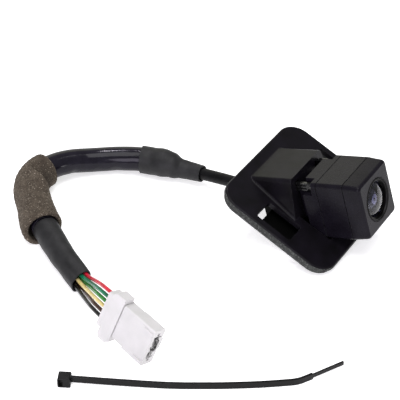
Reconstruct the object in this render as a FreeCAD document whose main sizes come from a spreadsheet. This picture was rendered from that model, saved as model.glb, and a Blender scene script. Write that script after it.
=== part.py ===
import FreeCAD, Part
import math
import os
import Sketcher
from FreeCAD import Placement, Rotation, Vector

# Reversing camera kit for a vehicle tailgate, in millimetres, laid on a table as it comes out of its box.
# +X is the way the lens looks along the table, +Y is the camera's left, +Z is up, and z = 0 is the table.
# The kit is a square camera in a moulded bezel, its short harness with a white connector,
# and one loose cable tie. The origin is the centre of the camera's and the tie's footprint.
#
# Three local frames are used, each put in place by a Placement:
#   camera frame     X to the camera's left, Y up across the lens, Z forward along the lens axis
#   bezel frame      X down the slope of the plate, Y to the camera's left, Z out of the plate's face
#   connector frame  X across the row of wires, Y out of the broad face, Z towards the mating end

# ---------------------------------------------------------------- driving dimensions

PITCH_ANGLE = 17.0            # lens axis above the table
BEZEL_ANGLE = 24.0            # fall of the bezel plate towards the front
BEZEL_CORNER = Vector(-27.92, 48.36, 22.53)   # upper edge of the hood's root, on the middle plane

DIMS = {
    # camera housing
    "hood_top": 13.4,
    "housing_width": 23.4,
    "housing_height": 24.0,
    "housing_corner": 1.6,
    "front_width": 22.8,
    "front_height": 22.8,
    "front_corner": 1.7,
    "front_bevel": 1.2,
    "wall": 1.4,
    "cavity_corner": 7.0,
    "rear_start": 22.0,
    "rear_joint": 28.2,
    "front_joint": 39.6,
    "front_face": 46.7,
    "seal_gap": 0.3,
    "seal_inset": 0.35,
    "seal_band": 0.75,
    "neck_width": 15.0,
    "neck_height": 14.0,
    "neck_corner": 2.0,
    "neck_start": 7.0,
    # lens stack
    "lens_hole_radius": 8.45,
    "lens_ring_radius": 8.35,
    "barrel_radius": 7.7,
    "barrel_body_radius": 6.0,
    "front_lens_radius": 7.2,
    # circuit boards
    "board_width": 17.6,
    "board_corner": 6.4,
    "board_thickness": 1.0,
    "board_hole_radius": 0.85,
    "spacer_radius": 1.3,
    # bezel
    "plate_length": 51.3,
    "plate_width": 57.5,
    "plate_corner": 8.5,
    "plate_thickness": 2.0,
    "skirt_depth": 1.2,
    "skirt_width": 2.2,
    "skirt_inset": 0.5,
    "gasket_inset": 0.7,
    "gasket_width": 1.8,
    "gasket_thickness": 1.0,
    "slot_length": 15.6,
    "slot_width": 9.4,
    "slot_corner": 1.0,
    "hood_length": 18.2,
    "hood_width": 24.0,
    "hood_flare": 3.0,
    "hood_wall": 1.4,
    # rear bracket
    "bracket_width": 27.6,
    "bracket_inner_width": 24.1,
    # connector
    "plug_width": 14.4,
    "plug_thickness": 5.8,
    "plug_length": 23.8,
    "pin_pitch": 2.2,
    "pin_bore_radius": 0.95,
    # harness
    "cable_radius": 2.45,
    "tube_radius": 5.0,
    "tube_bore": 4.3,
    "foam_radius": 7.1,
    "foam_bore": 5.1,
    "bundle_radius": 2.2,
    "wire_radius": 0.75,
    "sleeve_wall": 0.6,
    # cable tie
    "strap_height": 2.4,
    "strap_thickness": 1.0,
    "head_length": 4.6,
    "head_depth": 4.0,
    "head_height": 3.9,
}

# Centre line of the harness on the table, from behind the camera to the end of the rear sleeve.
# It first leaves the camera's neck along the lens axis.
HARNESS_ROUTE = [
    Vector(-41.92, 48.06, 7.6),
    Vector(-53.43, 48.66, 5.9),
    Vector(-62.13, 48.24, 5.2),
    Vector(-70.68, 46.39, 5.5),
    Vector(-81.68, 44.66, 6.05),
    Vector(-91.39, 39.93, 5.6),
    Vector(-100.07, 33.83, 5.3),
    Vector(-106.62, 26.36, 6.9),
    Vector(-110.95, 18.42, 7.2),
    Vector(-112.02, 9.81, 7.2),
    Vector(-108.02, 1.71, 7.2),
    Vector(-101.12, -4.89, 7.2),
    Vector(-93.22, -11.69, 7.2),
    Vector(-83.72, -18.09, 7.1),
    Vector(-72.82, -24.69, 5.6),
    Vector(-60.72, -30.89, 4.6),
]

NECK_START = 9.75             # station of the harness's first point on the lens axis
NECK_END = -4.1

# Stations along the whole line, measured from its start.
CABLE_END = 55.5
FRONT_SLEEVE = (42.6, 69.4)
BUNDLE = (57.5, 158.5)
TUBE = (65.0, 150.5)
FOAM = (110.1, 150.9)
REAR_SLEEVE = (151.4, 184.0)

# The row of wires and the flattened end of the rear sleeve lie along this direction.
WIRE_SPREAD = Vector(0.2, 0.6, 0.8)

# Centre line of the six wires, from inside the rear sleeve to its mouth.
WIRES_ROUTE = [
    Vector(-81.5, -19.5, 6.7),
    Vector(-71.7, -25.2, 5.6),
    Vector(-60.72, -30.89, 4.6),
]

# The connector: centre of its rear face, and how it lies.
PLUG_REAR = Vector(-39.61, -44.04, 11.9)
PLUG_FORWARD = Vector(0.955, -0.240, -0.174)
PLUG_ACROSS = Vector(0.243, 0.304, 0.920)

# Centre line of the tie's strap, from its head to its tip.
TIE_ROUTE = [
    Vector(-36.12, -72.99, 2.1),
    Vector(-21.02, -65.09, 1.45),
    Vector(-5.24, -57.25, 1.3),
    Vector(10.36, -47.75, 1.3),
    Vector(21.77, -40.03, 1.3),
    Vector(31.18, -32.74, 1.3),
    Vector(33.3, -29.2, 1.3),
    Vector(40.38, -16.09, 1.3),
]

# ---------------------------------------------------------------- document and sheet

doc = FreeCAD.newDocument("backup_camera_kit")
sheet = doc.addObject("Spreadsheet::Sheet", "dims")
for line, (alias, value) in enumerate(DIMS.items(), start=1):
    sheet.set("A%d" % line, alias)
    sheet.set("B%d" % line, str(value))
    sheet.setAlias("B%d" % line, alias)
doc.recompute()

NODES = []


def keep(thing, label, placement=None):
    """Names a finished sub-part and puts it in place."""
    thing.Label = label
    if placement is not None:
        thing.Placement = placement.multiply(thing.Placement)
    NODES.append(thing)
    return thing


# ---------------------------------------------------------------- local frames


def axes_placement(origin, x_axis, y_axis, z_axis):
    return Placement(origin, Rotation(x_axis, y_axis, z_axis, "XYZ"))


pitch = math.radians(PITCH_ANGLE)
fall = math.radians(BEZEL_ANGLE)
lens_up = Vector(-math.sin(pitch), 0, math.cos(pitch))
lens_forward = Vector(math.cos(pitch), 0, math.sin(pitch))
CAMERA = axes_placement(BEZEL_CORNER - lens_up * DIMS["hood_top"], Vector(0, 1, 0), lens_up, lens_forward)
BEZEL = axes_placement(BEZEL_CORNER, Vector(math.cos(fall), 0, -math.sin(fall)), Vector(0, 1, 0),
                       Vector(math.sin(fall), 0, math.cos(fall)))
CAMERA_IN_BEZEL = BEZEL.inverse().multiply(CAMERA)
BEZEL_IN_CAMERA = CAMERA_IN_BEZEL.inverse()
plug_face = PLUG_FORWARD.cross(PLUG_ACROSS).normalize()
PLUG = axes_placement(PLUG_REAR, plug_face.cross(PLUG_FORWARD).normalize(), plug_face, PLUG_FORWARD)

# ---------------------------------------------------------------- sketch and feature helpers


def new_body(name):
    return doc.addObject("PartDesign::Body", name)


def add_sketch(body, name, role="XY_Plane", lift=0.0):
    """A sketch on one of the body's own origin planes, moved along that plane's normal by lift."""
    plane = [item for item in body.Origin.OriginFeatures if item.Role == role][0]
    sketch = body.newObject("Sketcher::SketchObject", name)
    sketch.AttachmentSupport = [(plane, "")]
    sketch.MapMode = "FlatFace"
    sketch.AttachmentOffset = Placement(Vector(0, 0, lift), Rotation())
    return sketch


def bind(sketch, constraint, alias):
    index = sketch.addConstraint(constraint)
    sketch.setExpression("Constraints[%d]" % index, "dims." + alias)


def draw_circle(sketch, x, y, radius, alias=None):
    """A circle fixed at (x, y); its radius is bound to a cell when an alias is given."""
    index = sketch.addGeometry(Part.Circle(Vector(x, y, 0), Vector(0, 0, 1), radius))
    if x == 0 and y == 0:
        sketch.addConstraint(Sketcher.Constraint("Coincident", index, 3, -1, 1))
    else:
        sketch.addConstraint(Sketcher.Constraint("DistanceX", -1, 1, index, 3, x))
        sketch.addConstraint(Sketcher.Constraint("DistanceY", -1, 1, index, 3, y))
    radius_constraint = Sketcher.Constraint("Radius", index, radius)
    if alias:
        bind(sketch, radius_constraint, alias)
    else:
        sketch.addConstraint(radius_constraint)


def draw_rounded_rectangle(sketch, width, height, radius, aliases=(None, None, None), centre=(0.0, 0.0)):
    """A rectangle with round corners about a centre; sizes follow the sheet where an alias is given."""
    cx, cy = centre
    left, right = cx - width / 2, cx + width / 2
    low, high = cy - height / 2, cy + height / 2
    first = sketch.GeometryCount
    sides = [
        (Vector(left + radius, low, 0), Vector(right - radius, low, 0)),
        (Vector(right, low + radius, 0), Vector(right, high - radius, 0)),
        (Vector(right - radius, high, 0), Vector(left + radius, high, 0)),
        (Vector(left, high - radius, 0), Vector(left, low + radius, 0)),
    ]
    corners = [
        (Vector(right - radius, low + radius, 0), -math.pi / 2),
        (Vector(right - radius, high - radius, 0), 0),
        (Vector(left + radius, high - radius, 0), math.pi / 2),
        (Vector(left + radius, low + radius, 0), math.pi),
    ]
    for side, corner in zip(sides, corners):
        sketch.addGeometry(Part.LineSegment(*side))
        circle = Part.Circle(corner[0], Vector(0, 0, 1), radius)
        sketch.addGeometry(Part.ArcOfCircle(circle, corner[1], corner[1] + math.pi / 2))
    for step in range(4):
        side = first + 2 * step
        arc = side + 1
        following = first + (2 * step + 2) % 8
        sketch.addConstraint(Sketcher.Constraint("Tangent", side, 2, arc, 1))
        sketch.addConstraint(Sketcher.Constraint("Tangent", arc, 2, following, 1))
        if step:
            sketch.addConstraint(Sketcher.Constraint("Equal", first + 1, arc))
    sketch.addConstraint(Sketcher.Constraint("Horizontal", first))
    sketch.addConstraint(Sketcher.Constraint("Vertical", first + 2))
    sizes = [
        Sketcher.Constraint("DistanceX", first + 6, 1, first + 2, 1, width),
        Sketcher.Constraint("DistanceY", first, 1, first + 4, 1, height),
        Sketcher.Constraint("Radius", first + 1, radius),
    ]
    for constraint, alias in zip(sizes, aliases):
        if alias:
            bind(sketch, constraint, alias)
        else:
            sketch.addConstraint(constraint)
    if cx == 0 and cy == 0:
        sketch.addConstraint(Sketcher.Constraint("Symmetric", first, 1, first + 4, 1, -1, 1))
    else:
        sketch.addConstraint(Sketcher.Constraint("DistanceX", -1, 1, first + 1, 3, right - radius))
        sketch.addConstraint(Sketcher.Constraint("DistanceY", -1, 1, first + 1, 3, low + radius))


def draw_outline(sketch, points):
    """A closed outline; a third number on a point bows the side after it, to the left when positive."""
    count = len(points)
    first = sketch.GeometryCount
    for index, point in enumerate(points):
        start = Vector(point[0], point[1], 0)
        follower = points[(index + 1) % count]
        end = Vector(follower[0], follower[1], 0)
        if len(point) == 3:
            along = end - start
            normal = Vector(-along.y, along.x, 0).normalize()
            middle = (start + end) * 0.5 + normal * point[2]
            sketch.addGeometry(Part.Arc(start, middle, end))
        else:
            sketch.addGeometry(Part.LineSegment(start, end))
    for index, point in enumerate(points):
        sketch.addConstraint(Sketcher.Constraint("Block", first + index))


def pad(body, sketch, length, alias=None, midplane=False):
    feature = body.newObject("PartDesign::Pad", body.Name + "_pad")
    feature.Profile = sketch
    feature.Length = length
    feature.Midplane = midplane
    if alias:
        feature.setExpression("Length", "dims." + alias)
    return feature


def pocket(body, sketch, length, reverse=False, midplane=False):
    feature = body.newObject("PartDesign::Pocket", body.Name + "_pocket")
    feature.Profile = sketch
    feature.Length = length
    feature.Reversed = reverse
    feature.Midplane = midplane
    return feature


def turned(label, points, placement):
    """A body of revolution about the frame's Z axis; points are (radius, station along the axis)."""
    body = new_body(label)
    sketch = add_sketch(body, label + "_profile", "XZ_Plane")
    draw_outline(sketch, points)
    feature = body.newObject("PartDesign::Revolution", label + "_turn")
    feature.Profile = sketch
    feature.ReferenceAxis = (sketch, ["V_Axis"])
    feature.Angle = 360
    return keep(body, label, placement)


def bow(radius, rise):
    """How far half a dome's arc stands off its chord."""
    sphere = (radius ** 2 + rise ** 2) / (2 * rise)
    return sphere - math.sqrt(sphere ** 2 - (radius ** 2 + rise ** 2) / 4)


def ring_outline(inner, outer, low, high):
    return [(inner, low), (outer, low), (outer, high), (inner, high)]


def disc_outline(radius, low, high):
    return [(0, low), (radius, low), (radius, high), (0, high)]


def frame_ring(label, width, height, radius, inset, band, station, thickness, placement):
    """A flat seal that follows a rounded rectangle, inset from it by the given amount."""
    body = new_body(label)
    sketch = add_sketch(body, label + "_profile", lift=station)
    draw_rounded_rectangle(sketch, width - 2 * inset, height - 2 * inset, radius)
    shrink = 2 * (inset + band)
    draw_rounded_rectangle(sketch, width - shrink, height - shrink, radius)
    pad(body, sketch, thickness)
    return keep(body, label, placement)


# ---------------------------------------------------------------- primitive helpers


def span_block(name, low, high, placement=Placement()):
    """A Part::Box between two opposite corners of a local frame."""
    thing = doc.addObject("Part::Box", name)
    thing.Length, thing.Width, thing.Height = [high[index] - low[index] for index in range(3)]
    thing.Placement = placement.multiply(Placement(Vector(*low), Rotation()))
    return thing


def rod(name, radius, start, direction, length, placement=Placement()):
    thing = doc.addObject("Part::Cylinder", name)
    thing.Radius = radius
    thing.Height = length
    turn = Rotation(Vector(0, 0, 1), Vector(*direction))
    thing.Placement = placement.multiply(Placement(Vector(*start), turn))
    return thing


def joined(name, things):
    result = doc.addObject("Part::MultiFuse", name)
    result.Shapes = things
    result.Refine = True
    return result


def without(name, base, tools):
    """The base with every tool cut away."""
    result = doc.addObject("Part::Cut", name)
    result.Base = base
    result.Tool = tools[0] if len(tools) == 1 else joined(name + "_tools", tools)
    result.Refine = True
    return result


def eased(name, base, radius, chosen):
    """Rounds the edges that the test picks."""
    doc.recompute()
    picked = [number for number, edge in enumerate(base.Shape.Edges, start=1) if chosen(edge)]
    result = doc.addObject("Part::Fillet", name)
    result.Base = base
    result.Edges = [(number, radius, radius) for number in picked]
    return result


def along_axis(edge, axis):
    """True for a straight edge parallel to the given axis (0, 1 or 2)."""
    if edge.Curve.TypeId != "Part::GeomLine":
        return False
    run = edge.lastVertex().Point - edge.firstVertex().Point
    return abs(abs(run[axis]) - run.Length) < 1e-6


def separate_solids(label, shapes, placement):
    """One node that holds a group of separate identical solids."""
    thing = doc.addObject("Part::Feature", label)
    thing.Shape = Part.makeCompound(shapes)
    return keep(thing, label, placement)


# ---------------------------------------------------------------- camera housing

SCREW_X = 9.3
SCREW_Y = 9.6
SCREW_CORNERS = [(SCREW_X, SCREW_Y), (-SCREW_X, SCREW_Y), (-SCREW_X, -SCREW_Y), (SCREW_X, -SCREW_Y)]
SCREW_HOLE = 0.95
SCREW_SHANK = 0.85
SCREW_HEAD = 1.55
SCREW_HEAD_HEIGHT = 1.3
SCREW_LENGTH = 17.0
SCREW_END_PLAY = 0.4
UPPER_SEAT = 26.6             # stations of the screw heads' seats in the rear cover
LOWER_SEAT = 24.6
SEATED_CORNERS = ((UPPER_SEAT, SCREW_CORNERS[:2]), (LOWER_SEAT, SCREW_CORNERS[2:]))
FRONT_HOLLOW = 5.4
cavity_width = DIMS["housing_width"] - 2 * DIMS["wall"]
cavity_height = DIMS["housing_height"] - 2 * DIMS["wall"]
half_gap = DIMS["seal_gap"] / 2
HOUSING_CELLS = ("housing_width", "housing_height", "housing_corner")


def housing_outline(sketch):
    draw_rounded_rectangle(sketch, DIMS["housing_width"], DIMS["housing_height"], DIMS["housing_corner"],
                           HOUSING_CELLS)


def cavity_outline(sketch):
    draw_rounded_rectangle(sketch, cavity_width, cavity_height, DIMS["cavity_corner"],
                           (None, None, "cavity_corner"))


def front_cover():
    """The nose of the camera: tapers a little to a bevelled face with a round hole for the lens."""
    body = new_body("front_cover")
    rear = add_sketch(body, "front_cover_rear", lift=DIMS["front_joint"] + half_gap)
    housing_outline(rear)
    bevel = DIMS["front_bevel"]
    brow = add_sketch(body, "front_cover_brow", lift=DIMS["front_face"] - bevel)
    draw_rounded_rectangle(brow, DIMS["front_width"], DIMS["front_height"], DIMS["front_corner"],
                           ("front_width", "front_height", "front_corner"))
    sections = [brow]
    for drop, inset in ((0.4 * bevel, 0.25 * bevel), (0.0, 0.8 * bevel)):
        section = add_sketch(body, "front_cover_front", lift=DIMS["front_face"] - drop)
        draw_rounded_rectangle(section, DIMS["front_width"] - 2 * inset, DIMS["front_height"] - 2 * inset,
                               DIMS["front_corner"] - 0.5 * inset)
        sections.append(section)
    loft = body.newObject("PartDesign::AdditiveLoft", "front_cover_loft")
    loft.Profile = rear
    loft.Sections = sections
    loft.Ruled = True
    hollow = add_sketch(body, "front_cover_hollow", lift=DIMS["front_joint"])
    cavity_outline(hollow)
    pocket(body, hollow, FRONT_HOLLOW, reverse=True)
    bore = add_sketch(body, "front_cover_bore", lift=DIMS["front_joint"])
    draw_circle(bore, 0, 0, DIMS["lens_hole_radius"], "lens_hole_radius")
    pocket(body, bore, 10, reverse=True)
    for height, corners in SEATED_CORNERS:
        holes = add_sketch(body, "front_cover_holes", lift=DIMS["front_joint"])
        for x, y in corners:
            draw_circle(holes, x, y, SCREW_HOLE)
        pocket(body, holes, height + SCREW_LENGTH + SCREW_END_PLAY - DIMS["front_joint"], reverse=True)
    return keep(body, "camera_front_cover", CAMERA)


def mid_housing():
    """The middle shell, a square tube with thick corners that the long screws run through."""
    body = new_body("mid_housing")
    sketch = add_sketch(body, "mid_housing_profile", lift=DIMS["rear_joint"] + half_gap)
    housing_outline(sketch)
    cavity_outline(sketch)
    for x, y in SCREW_CORNERS:
        draw_circle(sketch, x, y, SCREW_HOLE)
    pad(body, sketch, DIMS["front_joint"] - DIMS["rear_joint"] - 2 * half_gap)
    return keep(body, "camera_mid_housing", CAMERA)


LATCH_X = 8.5                 # middle of a latch arm
LATCH_ROOT = 24.5             # station of its root
LATCH_TIP = 15.4              # station of its hooked end
LATCH_LOW = 7.3
LATCH_HIGH = 10.6
LATCH_ROOM = 0.35             # play below the arm
HALF_ARM = 0.6
NOTCH = (5.1, 5.6)            # width and height of the notch a latch arm stands in
NOTCH_X = 9.75
NECK_WALL = 1.5
REAR_WALL = 2.0
CABLE_OUTLET = 3.3


def rear_cover():
    """The rear shell with a square neck for the plug, and a notch at each upper corner for a latch arm."""
    body = new_body("rear_cover")
    sketch = add_sketch(body, "rear_cover_profile", lift=DIMS["rear_start"])
    housing_outline(sketch)
    pad(body, sketch, DIMS["rear_joint"] - DIMS["rear_start"] - half_gap)
    neck = add_sketch(body, "rear_cover_neck", lift=DIMS["neck_start"])
    draw_rounded_rectangle(neck, DIMS["neck_width"], DIMS["neck_height"], DIMS["neck_corner"],
                           ("neck_width", "neck_height", "neck_corner"))
    pad(body, neck, DIMS["rear_start"] - DIMS["neck_start"] + 0.5)
    hollow = add_sketch(body, "rear_cover_hollow", lift=DIMS["rear_start"] + REAR_WALL)
    cavity_outline(hollow)
    pocket(body, hollow, 6, reverse=True)
    duct = add_sketch(body, "rear_cover_duct", lift=DIMS["neck_start"] + 1.6)
    draw_rounded_rectangle(duct, DIMS["neck_width"] - 2 * NECK_WALL, DIMS["neck_height"] - 2 * NECK_WALL, 1.2)
    pocket(body, duct, 20, reverse=True)
    outlet = add_sketch(body, "rear_cover_outlet", lift=DIMS["neck_start"])
    draw_circle(outlet, 0, 0, CABLE_OUTLET)
    pocket(body, outlet, 4, reverse=True)
    for side in (1, -1):
        notch = add_sketch(body, "rear_cover_notch", lift=DIMS["rear_start"])
        draw_rounded_rectangle(notch, *NOTCH, 0.4,
                               centre=(side * NOTCH_X, LATCH_LOW - LATCH_ROOM + NOTCH[1] / 2))
        pocket(body, notch, 4.0, reverse=True)
    for height, corners in SEATED_CORNERS:
        for radius, depth in ((SCREW_HEAD + 0.1, height - DIMS["rear_start"]), (SCREW_HOLE, 10)):
            holes = add_sketch(body, "rear_cover_holes", lift=DIMS["rear_start"])
            for x, y in corners:
                draw_circle(holes, x, y, radius)
            pocket(body, holes, depth, reverse=True)
    return keep(body, "camera_rear_cover", CAMERA)


RECESS_WIDTH = 0.35
RECESS_DEPTH = 0.5


def screw(x, y, seat, radius, head, head_height, length):
    """A pan head with a cross recess, its seat at the given station and its shank forward of it."""
    shank = Part.makeCylinder(radius, length, Vector(x, y, seat))
    cap = Part.makeCylinder(head, head_height, Vector(x, y, seat - head_height))
    solid = shank.fuse(cap)
    reach = 1.2 * head
    for width, height in ((reach, RECESS_WIDTH), (RECESS_WIDTH, reach)):
        corner = Vector(x - width / 2, y - height / 2, seat - head_height)
        solid = solid.cut(Part.makeBox(width, height, RECESS_DEPTH, corner))
    return solid.removeSplitter()


def housing_screws():
    seats = [UPPER_SEAT, UPPER_SEAT, LOWER_SEAT, LOWER_SEAT]
    screws = [screw(x, y, seat, SCREW_SHANK, SCREW_HEAD, SCREW_HEAD_HEIGHT, SCREW_LENGTH)
              for (x, y), seat in zip(SCREW_CORNERS, seats)]
    separate_solids("housing_screws", screws, CAMERA)


def housing_seals():
    for side in ("front", "rear"):
        station = DIMS[side + "_joint"] - half_gap
        frame_ring(side + "_housing_seal", DIMS["housing_width"], DIMS["housing_height"],
                   DIMS["housing_corner"], DIMS["seal_inset"], DIMS["seal_band"], station,
                   DIMS["seal_gap"], CAMERA)


# ---------------------------------------------------------------- latch arms


def latch_arm(label, side):
    """A sprung arm hinged in the camera's notch; its hook catches behind the hood's front wall."""
    middle = side * LATCH_X
    arm = span_block(label + "_arm", (middle - HALF_ARM, LATCH_LOW, LATCH_TIP),
                     (middle + HALF_ARM, LATCH_HIGH, LATCH_ROOT))
    root = rod(label + "_root", 0.8, (middle, LATCH_LOW, LATCH_ROOT), (0, 1, 0), LATCH_HIGH - LATCH_LOW)
    hook_low = middle + 0.5 if side > 0 else middle - 1.45
    hook = span_block(label + "_hook", (hook_low, LATCH_LOW, LATCH_TIP),
                      (hook_low + 0.95, LATCH_HIGH, LATCH_TIP + 1.2))
    parts = [arm, root, hook]
    rib_low = middle + 0.5 if side > 0 else middle - 1.1
    rib_start, rib_end = 18.7, 22.4
    for level in (LATCH_LOW + 0.5, LATCH_LOW + 1.75, LATCH_LOW + 3.0):
        parts.append(span_block(label + "_rib", (rib_low, level, rib_start),
                                (rib_low + 0.6, level + 0.5, rib_end)))
    keep(joined(label, parts), label, CAMERA)


# ---------------------------------------------------------------- lens stack


def lens_stack():
    """From the front: dome lens, retaining ring, seal ring, barrel, inner lenses, stop and filter."""
    ring = DIMS["lens_ring_radius"]
    barrel = DIMS["barrel_radius"]
    stem = DIMS["barrel_body_radius"]
    glass = DIMS["front_lens_radius"]
    turned("lens_seal_ring", [(barrel + 0.03, 45.2), (ring, 45.2), (ring, 46.75), (ring - 0.2, 46.95),
                              (barrel + 0.25, 46.95), (barrel + 0.03, 46.75)], CAMERA)
    turned("lens_barrel", [(4.6, 38.2), (4.6, 42.9), (glass + 0.05, 42.9), (glass + 0.05, 45.8),
                           (glass + 0.2, 46.6), (barrel, 46.6), (barrel, 42.2), (stem, 42.2),
                           (stem, 33.2), (3.6, 33.2), (3.6, 38.2)], CAMERA)
    turned("front_lens", [(0, 47.25, bow(glass, 2.4)), (glass, 44.85), (glass, 43.0),
                          (5.3, 43.0, -bow(5.3, 2.35)), (0, 45.35)], CAMERA)
    turned("lens_retaining_ring", ring_outline(glass - 0.3, glass + 0.03, 45.1, 45.5), CAMERA)
    turned("second_lens", [(0, 42.6, bow(4.55, 0.7)), (4.55, 41.9), (4.55, 40.9), (0, 40.5)], CAMERA)
    turned("lens_spacer_ring", ring_outline(3.5, 4.55, 38.25, 40.3), CAMERA)
    turned("third_lens", [(0, 38.1, bow(3.55, 0.6)), (3.55, 37.5), (3.55, 36.3, bow(3.55, 0.6)),
                          (0, 35.7)], CAMERA)
    turned("aperture_stop", ring_outline(1.2, 3.55, 34.9, 35.2), CAMERA)
    turned("infrared_filter", disc_outline(3.5, 33.9, 34.4), CAMERA)


# ---------------------------------------------------------------- electronics

BOARD_HOLES = [(5.8, 5.8), (-5.8, 5.8), (-5.8, -5.8), (5.8, -5.8)]
MAIN_BOARD = 25.4
SENSOR_BOARD = 29.3
board_thickness = DIMS["board_thickness"]


def board(label, station):
    body = new_body(label)
    sketch = add_sketch(body, label + "_profile", lift=station)
    draw_rounded_rectangle(sketch, DIMS["board_width"], DIMS["board_width"], DIMS["board_corner"],
                           ("board_width", "board_width", "board_corner"))
    for x, y in BOARD_HOLES:
        draw_circle(sketch, x, y, DIMS["board_hole_radius"], "board_hole_radius")
    pad(body, sketch, board_thickness, "board_thickness")
    keep(body, label, CAMERA)


def electronics():
    """Two stacked boards with the sensor, its lens holder, a shield can and the plug-in cable header."""
    board("sensor_board", SENSOR_BOARD)
    board("main_board", MAIN_BOARD)
    gap_low = MAIN_BOARD + board_thickness
    spacers = [Part.makeCylinder(DIMS["spacer_radius"], SENSOR_BOARD - gap_low, Vector(x, y, gap_low))
               .cut(Part.makeCylinder(DIMS["board_hole_radius"], 9, Vector(x, y, gap_low - 1)))
               for x, y in BOARD_HOLES]
    separate_solids("board_spacers", spacers, CAMERA)
    top = SENSOR_BOARD + board_thickness
    shank_length = top - MAIN_BOARD + 0.6
    screws = [Part.makeCylinder(0.75, shank_length, Vector(x, y, top - shank_length))
              .fuse(Part.makeCylinder(1.25, 0.8, Vector(x, y, top)))
              .cut(Part.makeBox(1.6, 0.35, 0.4, Vector(x - 0.8, y - 0.175, top + 0.5)))
              for x, y in BOARD_HOLES]
    separate_solids("board_screws", screws, CAMERA)
    keep(span_block("image_sensor", (-3.6, -3.2, top), (3.6, 3.2, top + 1.4)), "image_sensor", CAMERA)
    turned("lens_holder", [(5.2, top), (6.75, top), (6.75, 36.4), (6.05, 36.4), (6.05, 33.1),
                           (5.2, 33.1)], CAMERA)
    header_pads = span_block("board_link", (-4.2, -7.4, gap_low), (4.2, -4.4, SENSOR_BOARD))
    keep(header_pads, "board_link", CAMERA)
    can_outer = span_block("shield_outer", (-4.2, -3.6, gap_low), (4.2, 5.2, gap_low + 1.8))
    can_inner = span_block("shield_inner", (-3.9, -3.3, gap_low - 1), (3.9, 4.9, gap_low + 1.5))
    keep(without("shield_can", can_outer, [can_inner]), "shield_can", CAMERA)
    header_outer = span_block("header_outer", (-4.0, -2.9, 19.4), (4.0, 2.9, MAIN_BOARD))
    header_inner = span_block("header_inner", (-3.2, -2.1, 18.0), (3.2, 2.1, 24.0))
    keep(without("cable_header", header_outer, [header_inner]), "cable_header", CAMERA)
    plug_nose = span_block("plug_nose", (-3.0, -1.9, 17.0), (3.0, 1.9, 23.5))
    plug_grip = span_block("plug_grip", (-4.6, -3.4, 12.4), (4.6, 3.4, 18.6))
    plug_boot = rod("plug_boot", 2.6, (0, 0, 9.75), (0, 0, 1), 3)
    keep(joined("cable_plug", [plug_nose, plug_grip, plug_boot]), "cable_plug", CAMERA)


def cable_gland():
    """Rubber grommet in the neck's rear wall, with a tapered tail around the cable."""
    bore = DIMS["cable_radius"] + 0.03
    turned("cable_gland", [(bore, 9.6), (4.2, 9.6), (4.2, 8.65), (3.25, 8.65), (3.25, 6.95), (4.1, 6.95),
                           (4.1, 6.2), (3.8, 5.5), (3.6, 5.0), (3.45, 3.6), (3.1, 3.2), (3.3, 2.6),
                           (3.0, 1.9), (3.2, 1.3), (2.95, 0.2), (bore + 0.15, 0.2), (bore, 4.0)], CAMERA)


# ---------------------------------------------------------------- bezel

PLATE_TOP = -4.65             # the plate's upper edge in the bezel frame
plate_centre = PLATE_TOP + DIMS["plate_length"] / 2
SLOT_START = 12.0
SLOT_OUTER = 25.6
BOSS_PLACES = [(33.6, 16.4), (33.6, -16.4)]
FIXING_PLACES = [(39.6, 18.5), (39.6, -18.5)]
BOSS_END = -4.4
FIXING_END = -3.5
BOSSES = [(place, 2.4, 0.95, BOSS_END) for place in BOSS_PLACES]      # place, radius, bore, end
FIXINGS = [(place, 3.0, 1.3, FIXING_END) for place in FIXING_PLACES]
CLIP_MIDDLE = (3.6, 17.0)     # clip root, down the slope and to the side
CLIP_ROOT = -3.7
CLIP_LENGTH = 5.0
hood_rise = math.radians(PITCH_ANGLE + BEZEL_ANGLE)
HOOD_TOP_END = DIMS["hood_length"] * math.cos(hood_rise)
HOOD_HEIGHT = DIMS["hood_length"] * math.sin(hood_rise)
HOOD_FOOT_END = DIMS["hood_length"] / math.cos(hood_rise)
HOOD_EDGE = 1.8
HOOD_FOOT = 1.1


def flared_hood():
    """A wedge that climbs from the plate, with a flank each side that flares towards the front."""
    half = DIMS["hood_width"] / 2
    spread = half + DIMS["hood_flare"]
    sink = -1.0
    corners = {}
    for hand in (1, -1):
        corners[hand] = [Vector(0, hand * half, 0),
                         Vector(HOOD_TOP_END, hand * half, HOOD_HEIGHT),
                         Vector(HOOD_FOOT_END, hand * spread, 0),
                         Vector(HOOD_FOOT_END, hand * spread, sink),
                         Vector(0, hand * half, sink)]
    left, right = corners[1], corners[-1]
    outlines = [[left[0], left[1], right[1], right[0]], [left[1], left[2], right[2], right[1]],
                [left[2], left[3], right[3], right[2]], [left[3], left[4], right[4], right[3]],
                [left[4], left[0], right[0], right[4]]]
    for hand in (left, right):
        outlines.append([hand[0], hand[1], hand[2]])
        outlines.append([hand[0], hand[2], hand[3], hand[4]])
    faces = [Part.Face(Part.makePolygon(outline + outline[:1])) for outline in outlines]
    hood = doc.addObject("Part::Feature", "flared_hood")
    hood.Shape = Part.makeSolid(Part.makeShell(faces))
    return hood


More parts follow.
